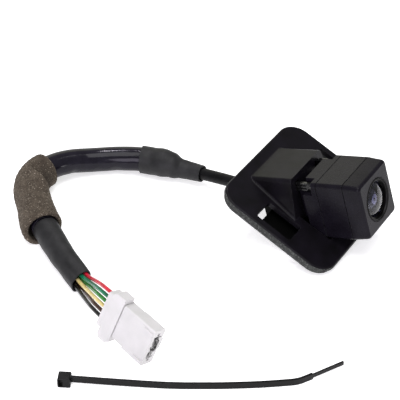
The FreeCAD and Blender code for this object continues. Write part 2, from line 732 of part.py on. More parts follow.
def bezel():
    """Rounded plate with a skirt, a wedge hood over the camera's shoulder and a window each side of it."""
    plate = new_body("bezel_plate")
    face = add_sketch(plate, "bezel_plate_outline", lift=-DIMS["plate_thickness"])
    outline = (DIMS["plate_length"], DIMS["plate_width"], DIMS["plate_corner"])
    draw_rounded_rectangle(face, *outline, centre=(plate_centre, 0))
    pad(plate, face, DIMS["plate_thickness"], "plate_thickness")
    skirt = add_sketch(plate, "bezel_skirt", lift=-DIMS["plate_thickness"] - DIMS["skirt_depth"])
    for margin in (DIMS["skirt_inset"], DIMS["skirt_inset"] + DIMS["skirt_width"]):
        draw_rounded_rectangle(skirt, outline[0] - 2 * margin, outline[1] - 2 * margin, outline[2] - margin,
                               centre=(plate_centre, 0))
    pad(plate, skirt, DIMS["skirt_depth"], "skirt_depth")
    for side in (1, -1):
        slot = add_sketch(plate, "bezel_window", lift=-5)
        middle = side * (SLOT_OUTER - DIMS["slot_width"] / 2)
        draw_rounded_rectangle(slot, DIMS["slot_length"], DIMS["slot_width"], DIMS["slot_corner"],
                               ("slot_length", "slot_width", "slot_corner"),
                               centre=(SLOT_START + DIMS["slot_length"] / 2, middle))
        pocket(plate, slot, 10, reverse=True)
    rounded_plate = eased("bezel_rounded", plate, 0.9, lambda edge: edge_on_rim(edge, outline))

    hood = flared_hood()
    posts = []
    for place, radius, bore, end in BOSSES + FIXINGS:
        posts.append(rod("bezel_post", radius, (place[0], place[1], end), (0, 0, 1), -0.5 - end))
    for side in (1, -1):
        for shift in (-3.4, 2.0):
            low = (CLIP_MIDDLE[0] + shift, side * CLIP_MIDDLE[1] - 1.5, CLIP_ROOT - 1.3)
            high = (low[0] + 1.4, low[1] + 3.0, -1.0)
            posts.append(span_block("clip_ear", low, high))
    shell = joined("bezel_shell", [rounded_plate, hood])
    shoulders = eased("bezel_shoulders", shell, HOOD_EDGE, edge_at_shoulder)
    footed = eased("bezel_footed", shoulders, HOOD_FOOT, edge_at_foot)
    whole = joined("bezel_whole", [footed] + posts)

    half = DIMS["hood_width"] / 2 - DIMS["hood_wall"]
    hollow_top = DIMS["hood_top"] - 1.6
    tools = [
        span_block("housing_way", (-12.05, -12.35, DIMS["hood_length"]), (12.05, 40, 60), CAMERA_IN_BEZEL),
        span_block("hood_hollow", (-half, -11.5, 4.2), (half, hollow_top, 17.0), CAMERA_IN_BEZEL),
        span_block("neck_way", (-8.0, -11.5, 12.0), (8.0, 7.5, 22.0), CAMERA_IN_BEZEL),
    ]
    for side in (1, -1):
        near, far = sorted((side * 6.4, side * 9.35))
        tools.append(span_block("latch_way", (near, LATCH_LOW - LATCH_ROOM, 16.0),
                                (far, LATCH_HIGH + 0.3, 22.0), CAMERA_IN_BEZEL))
        pin_start = (CLIP_MIDDLE[0] - 6, side * CLIP_MIDDLE[1], CLIP_ROOT)
        tools.append(rod("clip_bore", 0.8, pin_start, (1, 0, 0), 12))
    for place, radius, bore, end in BOSSES + FIXINGS:
        tools.append(rod("post_bore", bore, (place[0], place[1], end - 1), (0, 0, 1), 0.2 - end))
    return keep(without("mounting_bezel", whole, tools), "mounting_bezel", BEZEL)


def edge_at_shoulder(edge):
    """Picks the hood's two long upper edges, which climb from the plate to the hood's front."""
    box = edge.BoundBox
    return box.ZMin > -0.1 and box.ZLength > 0.8 * HOOD_HEIGHT and box.YLength < 0.1


def edge_at_foot(edge):
    """Picks the long inner corners where the hood's flanks meet the plate."""
    box = edge.BoundBox
    flat = abs(box.ZMax) < 1e-6 and abs(box.ZMin) < 1e-6
    return flat and box.XLength > 0.7 * HOOD_FOOT_END and 0.1 < box.YLength < DIMS["hood_flare"] + 0.5


def edge_on_rim(edge, outline):
    """Picks the edges around the plate's outer rim on its front face."""
    box = edge.BoundBox
    if abs(box.ZMax) > 1e-6 or abs(box.ZMin) > 1e-6:
        return False
    outer_x = outline[0] / 2 - 0.01
    outer_y = outline[1] / 2 - 0.01
    middle = edge.valueAt((edge.FirstParameter + edge.LastParameter) / 2)
    corner = outline[2]
    x = abs(middle.x - plate_centre)
    y = abs(middle.y)
    on_side = x > outer_x or y > outer_y
    on_corner = x > outer_x - corner and y > outer_y - corner and abs(
        math.hypot(x - outline[0] / 2 + corner, y - outline[1] / 2 + corner) - corner) < 0.05
    return on_side or on_corner


def gasket():
    body = new_body("gasket")
    station = -DIMS["plate_thickness"] - DIMS["skirt_depth"] - DIMS["gasket_thickness"]
    sketch = add_sketch(body, "gasket_outline", lift=station)
    inset = DIMS["gasket_inset"]
    band = inset + DIMS["gasket_width"]
    for margin in (inset, band):
        draw_rounded_rectangle(sketch, DIMS["plate_length"] - 2 * margin, DIMS["plate_width"] - 2 * margin,
                               DIMS["plate_corner"] - margin, centre=(plate_centre, 0))
    pad(body, sketch, DIMS["gasket_thickness"], "gasket_thickness")
    return keep(body, "bezel_gasket", BEZEL)


# ---------------------------------------------------------------- rear bracket and its screws

BRACKET_REAR = 4.4
BRACKET_WALL = 1.8
BRACKET_PLANE = -2.4          # cut just behind the plate
BRACKET_BOTTOM = -11.49
BRACKET_FLOOR = 0.8
FLANGE_LOW = -6.4
FLANGE_HIGH = -4.45
FLANGE_START = 14.1           # reach of a flange down the slope and to the side
FLANGE_END = 36.0
FLANGE_INNER = 12.2
FLANGE_OUTER = 21.6


def bracket():
    """Cradle behind the plate that carries the camera's neck and screws to the bezel's two posts."""
    slope = math.tan(hood_rise)
    drop = DIMS["hood_top"] + BRACKET_PLANE / math.cos(hood_rise)
    top_rear = drop - BRACKET_REAR * slope
    front = (drop - BRACKET_BOTTOM) / slope
    body = new_body("bracket")
    side = add_sketch(body, "bracket_side", "YZ_Plane")
    draw_outline(side, [(BRACKET_BOTTOM, BRACKET_REAR), (top_rear, BRACKET_REAR), (BRACKET_BOTTOM, front)])
    pad(body, side, DIMS["bracket_width"], "bracket_width", midplane=True)
    inner = add_sketch(body, "bracket_inner", "YZ_Plane")
    inner_floor = BRACKET_BOTTOM + BRACKET_FLOOR
    inner_rear = BRACKET_REAR + BRACKET_WALL
    draw_outline(inner, [(inner_floor, inner_rear), (30, inner_rear), (30, 40), (inner_floor, 40)])
    pocket(body, inner, DIMS["bracket_inner_width"], midplane=True)
    gap = add_sketch(body, "bracket_cable_gap", lift=BRACKET_REAR)
    draw_rounded_rectangle(gap, 8.6, 20, 4.2, centre=(0, 5.6))
    pocket(body, gap, 3, reverse=True)
    flanges = []
    for hand in (1, -1):
        near, far = sorted((hand * FLANGE_INNER, hand * FLANGE_OUTER))
        flanges.append(span_block("bracket_flange", (FLANGE_START, near, FLANGE_LOW),
                                  (FLANGE_END, far, FLANGE_HIGH), BEZEL_IN_CAMERA))
    whole = joined("bracket_whole", [body] + flanges)
    half_width = DIMS["bracket_inner_width"] / 2
    tools = [span_block("bracket_way", (-half_width, inner_floor, inner_rear), (half_width, 40, 60)),
             span_block("housing_room", (-half_width, -20, DIMS["rear_start"] - 0.4), (half_width, 40, 60)),
             span_block("bracket_foot", (-40, BRACKET_BOTTOM - 20, -20), (40, BRACKET_BOTTOM, 60))]
    for place in BOSS_PLACES:
        tools.append(rod("flange_hole", 1.15, (place[0], place[1], -9), (0, 0, 1), 9, BEZEL_IN_CAMERA))
    keep(without("camera_bracket", whole, tools), "camera_bracket", CAMERA)


def bracket_screws():
    screws = [screw(x, y, FLANGE_LOW - 0.05, 0.9, 1.9, 1.3, 5.0) for x, y in BOSS_PLACES]
    separate_solids("bracket_screws", screws, BEZEL)


def panel_clip(label, hand):
    """Sprung clip that grips the panel's edge; its rolled root turns between two ears of the bezel."""
    x, y = CLIP_MIDDLE[0], hand * CLIP_MIDDLE[1]
    length = 3.2
    low_x = x - 1.7
    root = rod(label + "_root", 0.75, (x - 3.2, y, CLIP_ROOT), (1, 0, 0), 6.4)
    leg_body = new_body(label + "_leg")
    sketch = add_sketch(leg_body, label + "_side", "YZ_Plane", lift=low_x)
    tip = CLIP_ROOT - CLIP_LENGTH
    draw_outline(sketch, [(y - 0.4 * hand, CLIP_ROOT), (y + 0.4 * hand, CLIP_ROOT),
                          (y + 0.5 * hand, CLIP_ROOT - 1.8), (y + 1.9 * hand, CLIP_ROOT - 3.0),
                          (y + 0.3 * hand, tip), (y - 0.5 * hand, tip),
                          (y + 0.9 * hand, CLIP_ROOT - 3.0), (y - 0.4 * hand, CLIP_ROOT - 1.8)])
    pad(leg_body, sketch, length)
    keep(joined(label, [root, leg_body]), label, BEZEL)


# ---------------------------------------------------------------- routes for the harness


def round_path(points, name):
    """Straight runs joined by tangent arcs, each as large as its two runs allow, as a list of edges."""
    edges = []
    radii = []
    start = points[0]
    for before, corner, after in zip(points, points[1:], points[2:]):
        arriving = corner - before
        leaving = after - corner
        reach = 0.45 * min(arriving.Length, leaving.Length)
        turn = arriving.getAngle(leaving)
        arriving.normalize()
        leaving.normalize()
        radius = reach / math.tan(turn / 2)
        inward = (leaving - arriving).normalize()
        centre = corner + inward * (radius / math.cos(turn / 2))
        arc_start = corner - arriving * reach
        arc_end = corner + leaving * reach
        edges.append(Part.LineSegment(start, arc_start).toShape())
        edges.append(Part.Arc(arc_start, centre - inward * radius, arc_end).toShape())
        start = arc_end
        radii.append(radius)
    edges.append(Part.LineSegment(start, points[-1]).toShape())
    length = sum(edge.Length for edge in edges)
    print("%-22s length %.1f mm, radii %s" % (name, length, " ".join("%.1f" % radius for radius in radii)))
    return edges


def point_on_path(edges, station):
    """The point at a distance along the path, and the path's direction there."""
    for edge in edges:
        if station <= edge.Length or edge is edges[-1]:
            parameter = edge.getParameterByLength(min(station, edge.Length))
            return edge.valueAt(parameter), edge.tangentAt(parameter)
        station -= edge.Length


def path_between(edges, start, end):
    """The part of the path between two stations, as a wire."""
    pieces = []
    station = 0.0
    for edge in edges:
        low = max(start - station, 0.0)
        high = min(end - station, edge.Length)
        if high - low > 1e-3:
            first = edge.getParameterByLength(low)
            last = edge.getParameterByLength(high)
            if edge.Curve.TypeId == "Part::GeomLine":
                piece = Part.LineSegment(edge.valueAt(first), edge.valueAt(last))
            else:
                piece = Part.Arc(edge.valueAt(first), edge.valueAt((first + last) / 2), edge.valueAt(last))
            pieces.append(piece.toShape())
        station += edge.Length
    return Part.Wire(pieces)


def pipe(wire, radius):
    start = wire.OrderedEdges[0]
    profile = Part.Face(Part.Wire(Part.makeCircle(radius, start.valueAt(start.FirstParameter),
                                                  start.tangentAt(start.FirstParameter))))
    solid = wire.makePipe(profile)
    expected = math.pi * radius ** 2 * wire.Length
    if abs(solid.Volume - expected) > 0.01 * expected:
        raise ValueError("a pipe's volume is not its section times its length")
    return solid


def ring_section(centre, direction, across, half_across, half_other, points=16):
    """A closed smooth ring about a centre, square to the direction; across sets its first axis."""
    first = (across - direction * across.dot(direction)).normalize()
    second = direction.cross(first)
    places = []
    for step in range(points):
        angle = 2 * math.pi * step / points
        along_first = first * (half_across * math.cos(angle))
        places.append(centre + along_first + second * (half_other * math.sin(angle)))
    curve = Part.BSplineCurve()
    curve.interpolate(Points=places, PeriodicFlag=True)
    return Part.Wire(curve.toShape())


def shrink_sleeve(label, edges, stations, wall, across):
    """A shrunk sleeve: stations are (distance along the path, half width, half height, rise)."""
    shells = []
    for inset in (0.0, wall):
        rings = []
        for station, half_width, half_height, rise in stations:
            centre, direction = point_on_path(edges, station)
            centre = centre + Vector(0, 0, rise)
            rings.append(ring_section(centre, direction, across, half_width - inset, half_height - inset))
        shells.append(Part.makeLoft(rings, True, False))
    thing = doc.addObject("Part::Feature", label)
    thing.Shape = shells[0].cut(shells[1])
    return keep(thing, label)


def cord_piece(label, shape):
    thing = doc.addObject("Part::Feature", label)
    thing.Shape = shape
    return keep(thing, label)


# ---------------------------------------------------------------- harness


def harness():
    """Cable, front sleeve, plastic tube, foam sleeve, taped bundle and rear sleeve on one centre line."""
    neck = [CAMERA.multVec(Vector(0, 0, station)) for station in (NECK_START, NECK_END)]
    edges = round_path(neck + HARNESS_ROUTE, "harness")
    cord_piece("camera_cable", pipe(path_between(edges, 0, CABLE_END), DIMS["cable_radius"]))
    cord_piece("wire_bundle", pipe(path_between(edges, *BUNDLE), DIMS["bundle_radius"]))
    tube_path = path_between(edges, *TUBE)
    cord_piece("harness_tube", pipe(tube_path, DIMS["tube_radius"]).cut(pipe(tube_path, DIMS["tube_bore"])))
    foam_path = path_between(edges, *FOAM)
    cord_piece("foam_sleeve", pipe(foam_path, DIMS["foam_radius"]).cut(pipe(foam_path, DIMS["foam_bore"])))
    start, end = FRONT_SLEEVE
    upright = Vector(0, 0, 1)
    shrink_sleeve("front_shrink_sleeve", edges, [
        (start, 3.45, 3.45, 0.0), (start + 5.5, 3.75, 3.75, 0.0), (start + 9.5, 4.1, 4.2, 0.2),
        (start + 13.0, 5.0, 5.15, 0.6), (start + 18.0, 5.78, 5.82, 0.4), (start + 21.5, 5.8, 5.8, 0.0),
        (start + 24.0, 5.8, 5.8, 0.0), (end, 5.75, 5.75, 0.0)], DIMS["sleeve_wall"], upright)
    start, end = REAR_SLEEVE
    shrink_sleeve("rear_shrink_sleeve", edges, [
        (start, 5.15, 5.15, 0.0), (start + 6.0, 5.15, 5.1, 0.0), (start + 14.0, 5.0, 4.8, 0.0),
        (start + 22.0, 4.9, 4.3, 0.0), (end, 4.9, 3.7, 0.0)], DIMS["sleeve_wall"], WIRE_SPREAD)


WIRES = ["wire_red", "wire_green", "wire_light_green", "wire_cream", "wire_brown", "wire_black"]
WIRE_ROW = 0.85               # every other wire lies this far to one side or the other


def wires():
    """Six wires that leave the rear sleeve side by side and fan out to the connector's bores."""
    begin, middle, mouth = WIRES_ROUTE
    direction = (mouth - begin).normalize()
    spread = (WIRE_SPREAD - direction * WIRE_SPREAD.dot(direction)).normalize()
    aside = direction.cross(spread)
    for index, label in enumerate(WIRES):
        place = 2.5 - index
        row = WIRE_ROW if index % 2 else -WIRE_ROW
        bore = PLUG.multVec(Vector(place * DIMS["pin_pitch"], 0, 5.0))
        approach = PLUG.multVec(Vector(place * DIMS["pin_pitch"], 0, -4.6))
        points = [begin + spread * (place * 0.9) + aside * row,
                  middle + spread * place + aside * row,
                  mouth + spread * (place * 1.1) + aside * (row * 0.8),
                  (mouth + approach) * 0.5 + spread * (place * 0.6) + aside * (row * 0.3)
                  + Vector(0, 0, 0.1 * place),
                  approach,
                  bore]
        path = Part.Wire(round_path(points, label))
        cord_piece(label, pipe(path, DIMS["wire_radius"]))


# ---------------------------------------------------------------- connector

RETAINER = (2.2, 8.0)         # stations of the retainer's saddle
# The saddle seen on its broad face, across the wires and along the plug; one arm is the wider.
RETAINER_OUTLINE = [(-9.4, 2.2), (-10.8, 3.4), (-10.8, 6.2), (-9.2, 8.0), (9.3, 8.0), (9.3, 3.6), (8.0, 2.2)]
RETAINER_DROP = -1.7          # how far down the arms reach
LATCH_PIVOT = (-4.15, 13.8)   # the latch's pin: across the thickness and along the plug
NOSE_START = 13.8             # station where the thicker nose begins
EAR_SPAN = (12.2, 15.4)
RAIL_START = 19.6


def connector_housing():
    """Six-way plug body with a raised nose, a waist for the retainer and two ears for the latch."""
    half_depth = DIMS["plug_thickness"] / 2
    core = new_body("plug_core")
    sketch = add_sketch(core, "plug_core_outline")
    draw_rounded_rectangle(sketch, DIMS["plug_width"], DIMS["plug_thickness"], 0.7,
                           ("plug_width", "plug_thickness", None))
    pad(core, sketch, DIMS["plug_length"], "plug_length")
    nose = new_body("plug_nose_shell")
    outline = add_sketch(nose, "plug_nose_outline", lift=NOSE_START)
    draw_rounded_rectangle(outline, DIMS["plug_width"] + 0.8, DIMS["plug_thickness"] + 0.5, 0.9,
                           centre=(0.0, 0.25))
    pad(nose, outline, DIMS["plug_length"] - NOSE_START)
    ears = []
    for low in (-4.6, 3.4):
        ears.append(span_block("latch_ear", (low, -half_depth - 2.2, EAR_SPAN[0]),
                               (low + 1.2, -half_depth + 0.3, EAR_SPAN[1])))
    rails = []
    for low in (-6.6, 5.6):
        rails.append(span_block("guide_rail", (low, half_depth, RAIL_START),
                                (low + 1.0, half_depth + 1.0, DIMS["plug_length"])))
    whole = joined("plug_whole", [core, nose] + ears + rails)
    tools = [span_block("retainer_waist", (-20, half_depth - 1.2, RETAINER[0] - 0.2),
                        (20, 20, RETAINER[1] + 0.2)),
             rod("latch_pin_bore", 0.65, (-10, LATCH_PIVOT[0], LATCH_PIVOT[1]), (1, 0, 0), 20)]
    for index in range(6):
        x = (2.5 - index) * DIMS["pin_pitch"]
        tools.append(rod("pin_bore", DIMS["pin_bore_radius"], (x, 0, -1), (0, 0, 1), 19))
        tools.append(span_block("pin_window", (x - 0.65, -0.65, 10), (x + 0.65, 0.65, 40)))
    for index in range(5):
        x = (2.0 - index) * DIMS["pin_pitch"]
        tools.append(span_block("nose_slit", (x - 0.2, -1.9, DIMS["plug_length"] - 1.2),
                                (x + 0.2, 1.9, 40)))
    keep(without("connector_housing", whole, tools), "connector_housing", PLUG)


def connector_parts():
    half_width = DIMS["plug_width"] / 2
    half_depth = DIMS["plug_thickness"] / 2
    low, high = RETAINER
    outer = new_body("retainer_outer")
    outline = add_sketch(outer, "retainer_outline", "XZ_Plane", lift=-(half_depth + 0.6))
    draw_outline(outline, RETAINER_OUTLINE)
    pad(outer, outline, half_depth + 0.6 - RETAINER_DROP)
    hollow = span_block("retainer_hollow", (-half_width - 0.12, -10, low - 1),
                        (half_width + 0.12, half_depth - 1.05, high + 1))
    saddle = without("retainer_saddle", outer, [hollow])
    softened = eased("retainer_softened", saddle, 0.6,
                     lambda edge: along_axis(edge, 2) and abs(edge.BoundBox.XMax) > half_width + 1
                     and edge.BoundBox.YMax > half_depth)
    keep(softened, "connector_retainer", PLUG)

    pin_y, pin_z = LATCH_PIVOT
    pin = rod("latch_pin", 0.6, (-4.7, pin_y, pin_z), (1, 0, 0), 9.4)
    lever_body = new_body("latch_lever")
    sketch = add_sketch(lever_body, "latch_lever_side", "YZ_Plane")
    draw_outline(sketch, [(pin_y + 0.55, pin_z - 1.2), (pin_y - 0.55, pin_z - 1.2), (pin_y - 1.0, 7.4),
                          (pin_y - 0.2, 6.9), (pin_y + 0.2, 9.0), (pin_y + 0.1, pin_z - 1.2)])
    pad(lever_body, sketch, 6.4, midplane=True)
    nose = new_body("latch_nose")
    side = add_sketch(nose, "latch_nose_side", "YZ_Plane")
    draw_outline(side, [(pin_y + 0.5, pin_z - 1.4), (pin_y - 0.5, pin_z - 1.4), (pin_y - 0.5, 21.4),
                        (pin_y - 1.2, 21.4), (pin_y - 0.5, 23.2), (pin_y + 0.3, 23.2)])
    pad(nose, side, 4.4, midplane=True)
    keep(joined("connector_latch", [pin, lever_body, nose]), "connector_latch", PLUG)

    terminals = []
    for index in range(6):
        x = (2.5 - index) * DIMS["pin_pitch"]
        barrel = Part.makeCylinder(0.8, 3.4, Vector(x, 0, 5.1))
        box = Part.makeBox(1.1, 1.1, 12.4, Vector(x - 0.55, -0.55, 8.2))
        slot = Part.makeBox(0.5, 0.7, 5, Vector(x - 0.25, -0.35, 17.5))
        terminals.append(barrel.fuse(box).cut(slot).removeSplitter())
    separate_solids("connector_terminals", terminals, PLUG)


# ---------------------------------------------------------------- cable tie

TIE_SLOT = (-3.9, -2.42)      # along the strap: start of the slot, and of the pawl's room
TIE_PAWL = (-1.85, 0.7)       # the pawl's pin, along and across the strap
TIE_TAIL = 13.0               # length of the thin tail
TIE_TAIL_SIZE = (1.5, 0.65)   # its height and thickness


def cable_tie():
    """A nylon tie that lies on its edge: a square head with a slot, and a long strap with a thin tail."""
    edges = round_path(TIE_ROUTE, "cable_tie")
    total = sum(edge.Length for edge in edges)
    upright = Vector(0, 0, 1)
    solids = []
    tail_start = total - TIE_TAIL
    for start, end, height, thickness in ((0, tail_start, DIMS["strap_height"], DIMS["strap_thickness"]),
                                          (tail_start - 0.5, total, *TIE_TAIL_SIZE)):
        wire = path_between(edges, start, end)
        place, direction = point_on_path(edges, start)
        aside = direction.cross(upright).normalize()
        rise = aside.cross(direction).normalize()
        corners = [place + aside * (thickness / 2 * i) + rise * (height / 2 * j)
                   for i, j in ((-1, -1), (1, -1), (1, 1), (-1, 1), (-1, -1))]
        sweep = Part.BRepOffsetAPI.MakePipeShell(wire)
        sweep.setBiNormalMode(upright)
        sweep.add(Part.makePolygon(corners))
        sweep.build()
        sweep.makeSolid()
        solids.append(sweep.shape())
    strap = solids[0].fuse(solids[1])

    root, direction = point_on_path(edges, 0)
    flat = Vector(direction.x, direction.y, 0).normalize()
    across = upright.cross(flat)
    head_place = axes_placement(Vector(root.x, root.y, 0), flat, across, upright)
    length, depth, height = DIMS["head_length"], DIMS["head_depth"], DIMS["head_height"]
    head = Part.makeBox(length, depth, height, Vector(0.3 - length, -depth / 2 - 0.4, 0))
    corners = [edge for edge in head.Edges if along_axis(edge, 1)]
    head = head.makeFillet(0.6, corners)
    slot = Part.makeBox(1.5, depth + 2, 3.0, Vector(TIE_SLOT[0], -depth, 0.6))
    pawl_room = Part.makeBox(1.15, depth - 1.2, 3.0, Vector(TIE_SLOT[1], -depth / 2 + 0.4, 0.6))
    head = head.cut(slot).cut(pawl_room)
    head.Placement = head_place
    thing = doc.addObject("Part::Feature", "tie_strap")
    thing.Shape = strap.fuse(head).removeSplitter()
    keep(thing, "tie_strap")

    pawl_pin = Part.makeCylinder(0.35, 2.6, Vector(TIE_PAWL[0], TIE_PAWL[1], 0.8), upright)
    tongue = Part.makeBox(0.5, 2.0, 2.4, Vector(TIE_PAWL[0] - 0.25, TIE_PAWL[1] - 2.0, 0.9))
    pawl = pawl_pin.fuse(tongue).removeSplitter()
    pawl.Placement = head_place
    thing = doc.addObject("Part::Feature", "tie_pawl")
    thing.Shape = pawl
    keep(thing, "tie_pawl")


# ---------------------------------------------------------------- build everything

front_cover()
mid_housing()
rear_cover()
housing_screws()
housing_seals()
latch_arm("left_latch_arm", 1)
latch_arm("right_latch_arm", -1)
lens_stack()
electronics()
cable_gland()
bezel()
gasket()
bracket()
bracket_screws()
panel_clip("left_panel_clip", 1)
panel_clip("right_panel_clip", -1)
harness()
wires()
connector_housing()
connector_parts()
cable_tie()
doc.recompute()

# ---------------------------------------------------------------- checks and export

faults = []
for thing in doc.Objects:
    if "Invalid" in thing.State or "Error" in thing.State:
        faults.append("%s is %s" % (thing.Label, thing.State))
for node in NODES:
    if node.Shape.isNull() or not node.Shape.isValid() or not node.Shape.Solids:
        faults.append("%s has no valid solid" % node.Label)
if faults:
    raise RuntimeError("; ".join(faults))

os.makedirs("parts", exist_ok=True)
for node in NODES:
    box = node.Shape.BoundBox
    print("%-22s solids %d volume %8.1f  x %.1f..%.1f  y %.1f..%.1f  z %.2f..%.2f" % (
        node.Label, len(node.Shape.Solids), node.Shape.Volume,
        box.XMin, box.XMax, box.YMin, box.YMax, box.ZMin, box.ZMax))
    node.Shape.exportStep("parts/%s.step" % node.Label)
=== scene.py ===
import math

import bmesh
import bpy
from mathutils import Matrix, Vector, noise


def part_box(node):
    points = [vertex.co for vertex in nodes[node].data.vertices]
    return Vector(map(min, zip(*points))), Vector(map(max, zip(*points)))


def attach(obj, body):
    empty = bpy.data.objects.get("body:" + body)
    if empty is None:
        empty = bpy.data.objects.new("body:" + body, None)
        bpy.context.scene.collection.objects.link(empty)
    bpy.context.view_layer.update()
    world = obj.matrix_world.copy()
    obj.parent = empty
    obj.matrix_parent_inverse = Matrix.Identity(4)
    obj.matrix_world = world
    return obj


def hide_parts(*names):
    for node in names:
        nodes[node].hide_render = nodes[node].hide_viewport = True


# Looks of a reversing camera kit: a square camera in a moulded bezel, its short harness with a
# white connector, and one loose cable tie. Metres, in the CAD model's own frame: +X is the way the
# lens looks along the table, +Y is the camera's left and z = 0 is the table.

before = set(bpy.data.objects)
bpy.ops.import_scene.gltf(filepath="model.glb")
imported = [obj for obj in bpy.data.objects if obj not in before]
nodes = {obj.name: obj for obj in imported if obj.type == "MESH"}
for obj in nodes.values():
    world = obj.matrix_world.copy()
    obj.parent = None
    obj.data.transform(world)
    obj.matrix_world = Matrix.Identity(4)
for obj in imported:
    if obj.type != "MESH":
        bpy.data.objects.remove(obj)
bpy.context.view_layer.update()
scene = bpy.context.scene
MM = 0.001


# ---------------------------------------------------------------- local frames


def placed(origin, x_axis, y_axis, z_axis):
    """A frame as a matrix, from its origin in metres and its three axes."""
    matrix = Matrix.Identity(4)
    for column, axis in enumerate((x_axis, y_axis, z_axis)):
        for row in range(3):
            matrix[row][column] = axis[row]
    matrix.translation = origin
    return matrix


def millimetres(points):
    return [Vector(point) * MM for point in points]


PITCH_ANGLE = math.radians(17.0)
BEZEL_ANGLE = math.radians(24.0)
BEZEL_CORNER = Vector((-27.92, 48.36, 22.53)) * MM
HOOD_TOP = 13.4 * MM
lens_up = Vector((-math.sin(PITCH_ANGLE), 0, math.cos(PITCH_ANGLE)))
lens_forward = Vector((math.cos(PITCH_ANGLE), 0, math.sin(PITCH_ANGLE)))
CAMERA = placed(BEZEL_CORNER - lens_up * HOOD_TOP, Vector((0, 1, 0)), lens_up, lens_forward)
BEZEL = placed(BEZEL_CORNER, Vector((math.cos(BEZEL_ANGLE), 0, -math.sin(BEZEL_ANGLE))), Vector((0, 1, 0)),
               Vector((math.sin(BEZEL_ANGLE), 0, math.cos(BEZEL_ANGLE))))

PLUG_REAR = Vector((-39.61, -44.04, 11.9)) * MM
plug_forward = Vector((0.955, -0.240, -0.174)).normalized()
plug_face = plug_forward.cross(Vector((0.243, 0.304, 0.920))).normalized()
PLUG = placed(PLUG_REAR, plug_face.cross(plug_forward).normalized(), plug_face, plug_forward)
PIN_PITCH = 2.2 * MM


# ---------------------------------------------------------------- routes of the cords

# Centre line of the harness, from the cable gland to the mouth of the rear sleeve.
HARNESS_ROUTE = [CAMERA @ Vector((0, 0, station * MM)) for station in (9.75, -4.1)] + millimetres([
    (-41.92, 48.06, 7.6),
    (-53.43, 48.66, 5.9),
    (-62.13, 48.24, 5.2),
    (-70.68, 46.39, 5.5),
    (-81.68, 44.66, 6.05),
    (-91.39, 39.93, 5.6),
    (-100.07, 33.83, 5.3),
    (-106.62, 26.36, 6.9),
    (-110.95, 18.42, 7.2),
    (-112.02, 9.81, 7.2),
    (-108.02, 1.71, 7.2),
    (-101.12, -4.89, 7.2),
    (-93.22, -11.69, 7.2),
    (-83.72, -18.09, 7.1),
    (-72.82, -24.69, 5.6),
    (-60.72, -30.89, 4.6),
])

# Stations along the harness and radii of what is on it, in millimetres.
HARNESS_LENGTH = 183.6
CABLE = (0.0, 55.5)
FRONT_SLEEVE = (42.6, 69.4)
BUNDLE = (57.5, 158.5)
TUBE = (65.0, 150.5)
FOAM = (110.1, 150.9)
REAR_SLEEVE = (151.4, 183.6)
CABLE_RADIUS = 2.45
TUBE_RADIUS = 5.0
TUBE_WALL = 0.6
BUNDLE_RADIUS = 2.2
FOAM_RADIUS = 7.05
FOAM_BORE = 5.15
SLEEVE_WALL = 0.55
WIRE_RADIUS = 0.75

# Centre line of the six wires, from inside the rear sleeve to its mouth.
WIRES_ROUTE = millimetres([(-81.5, -19.5, 6.7), (-71.7, -25.2, 5.6), (-60.72, -30.89, 4.6)])


def nurbs(name, points):
    """A curve whose one smooth spline is controlled by the points."""
    data = bpy.data.curves.new(name, "CURVE")
    data.dimensions = "3D"
    spline = data.splines.new("NURBS")
    spline.points.add(len(points) - 1)
    for place, point in zip(spline.points, points):
        place.co = (*point, 1.0)
    spline.order_u = 3
    spline.use_endpoint_u = True
    data.resolution_u = 24
    return data


class Line:
    """The smooth line that a route's points control, measured along its length."""

    def __init__(self, points):
        carrier = bpy.data.objects.new("route", nurbs("route", points))
        scene.collection.objects.link(carrier)
        mesh = bpy.data.meshes.new_from_object(carrier)
        self.points = [vertex.co.copy() for vertex in mesh.vertices]
        bpy.data.objects.remove(carrier)
        self.stations = [0.0]
        for before, after in zip(self.points, self.points[1:]):
            self.stations.append(self.stations[-1] + (after - before).length)
        self.length = self.stations[-1]

    def at(self, station):
        """The point at a distance along the line."""
        index = 1
        while index < len(self.stations) - 1 and self.stations[index] < station:
            index += 1
        before, after = self.points[index - 1], self.points[index]
        share = (station - self.stations[index - 1]) / (self.stations[index] - self.stations[index - 1])
        return before.lerp(after, share)

    def heading(self, station, reach=0.6 * MM):
        """The direction over a short reach, so that rings turn smoothly."""
        low = self.at(max(station - reach, 0.0))
        high = self.at(min(station + reach, self.length))
        return (high - low).normalized()


harness = Line(HARNESS_ROUTE)


def on_harness(stations):
    """Stations in millimetres of the harness's whole length, as distances along its smooth line."""
    return [station / HARNESS_LENGTH * harness.length for station in stations]


# ---------------------------------------------------------------- mesh helpers


def new_object(name, data):
    thing = bpy.data.objects.new(name, data)
    scene.collection.objects.link(thing)
    return thing


def finish_piece(piece, body, finish, replaced=()):
    """Gives a piece its material, hides the CAD nodes it stands for and hangs it on the body it rides on."""
    piece.data.materials.clear()
    piece.data.materials.append(finish)
    if replaced:
        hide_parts(*replaced)
    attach(piece, body)
    return piece


def smooth(mesh, angle=35.0):
    mesh.polygons.foreach_set("use_smooth", [True] * len(mesh.polygons))
    mesh.set_sharp_from_angle(angle=math.radians(angle))


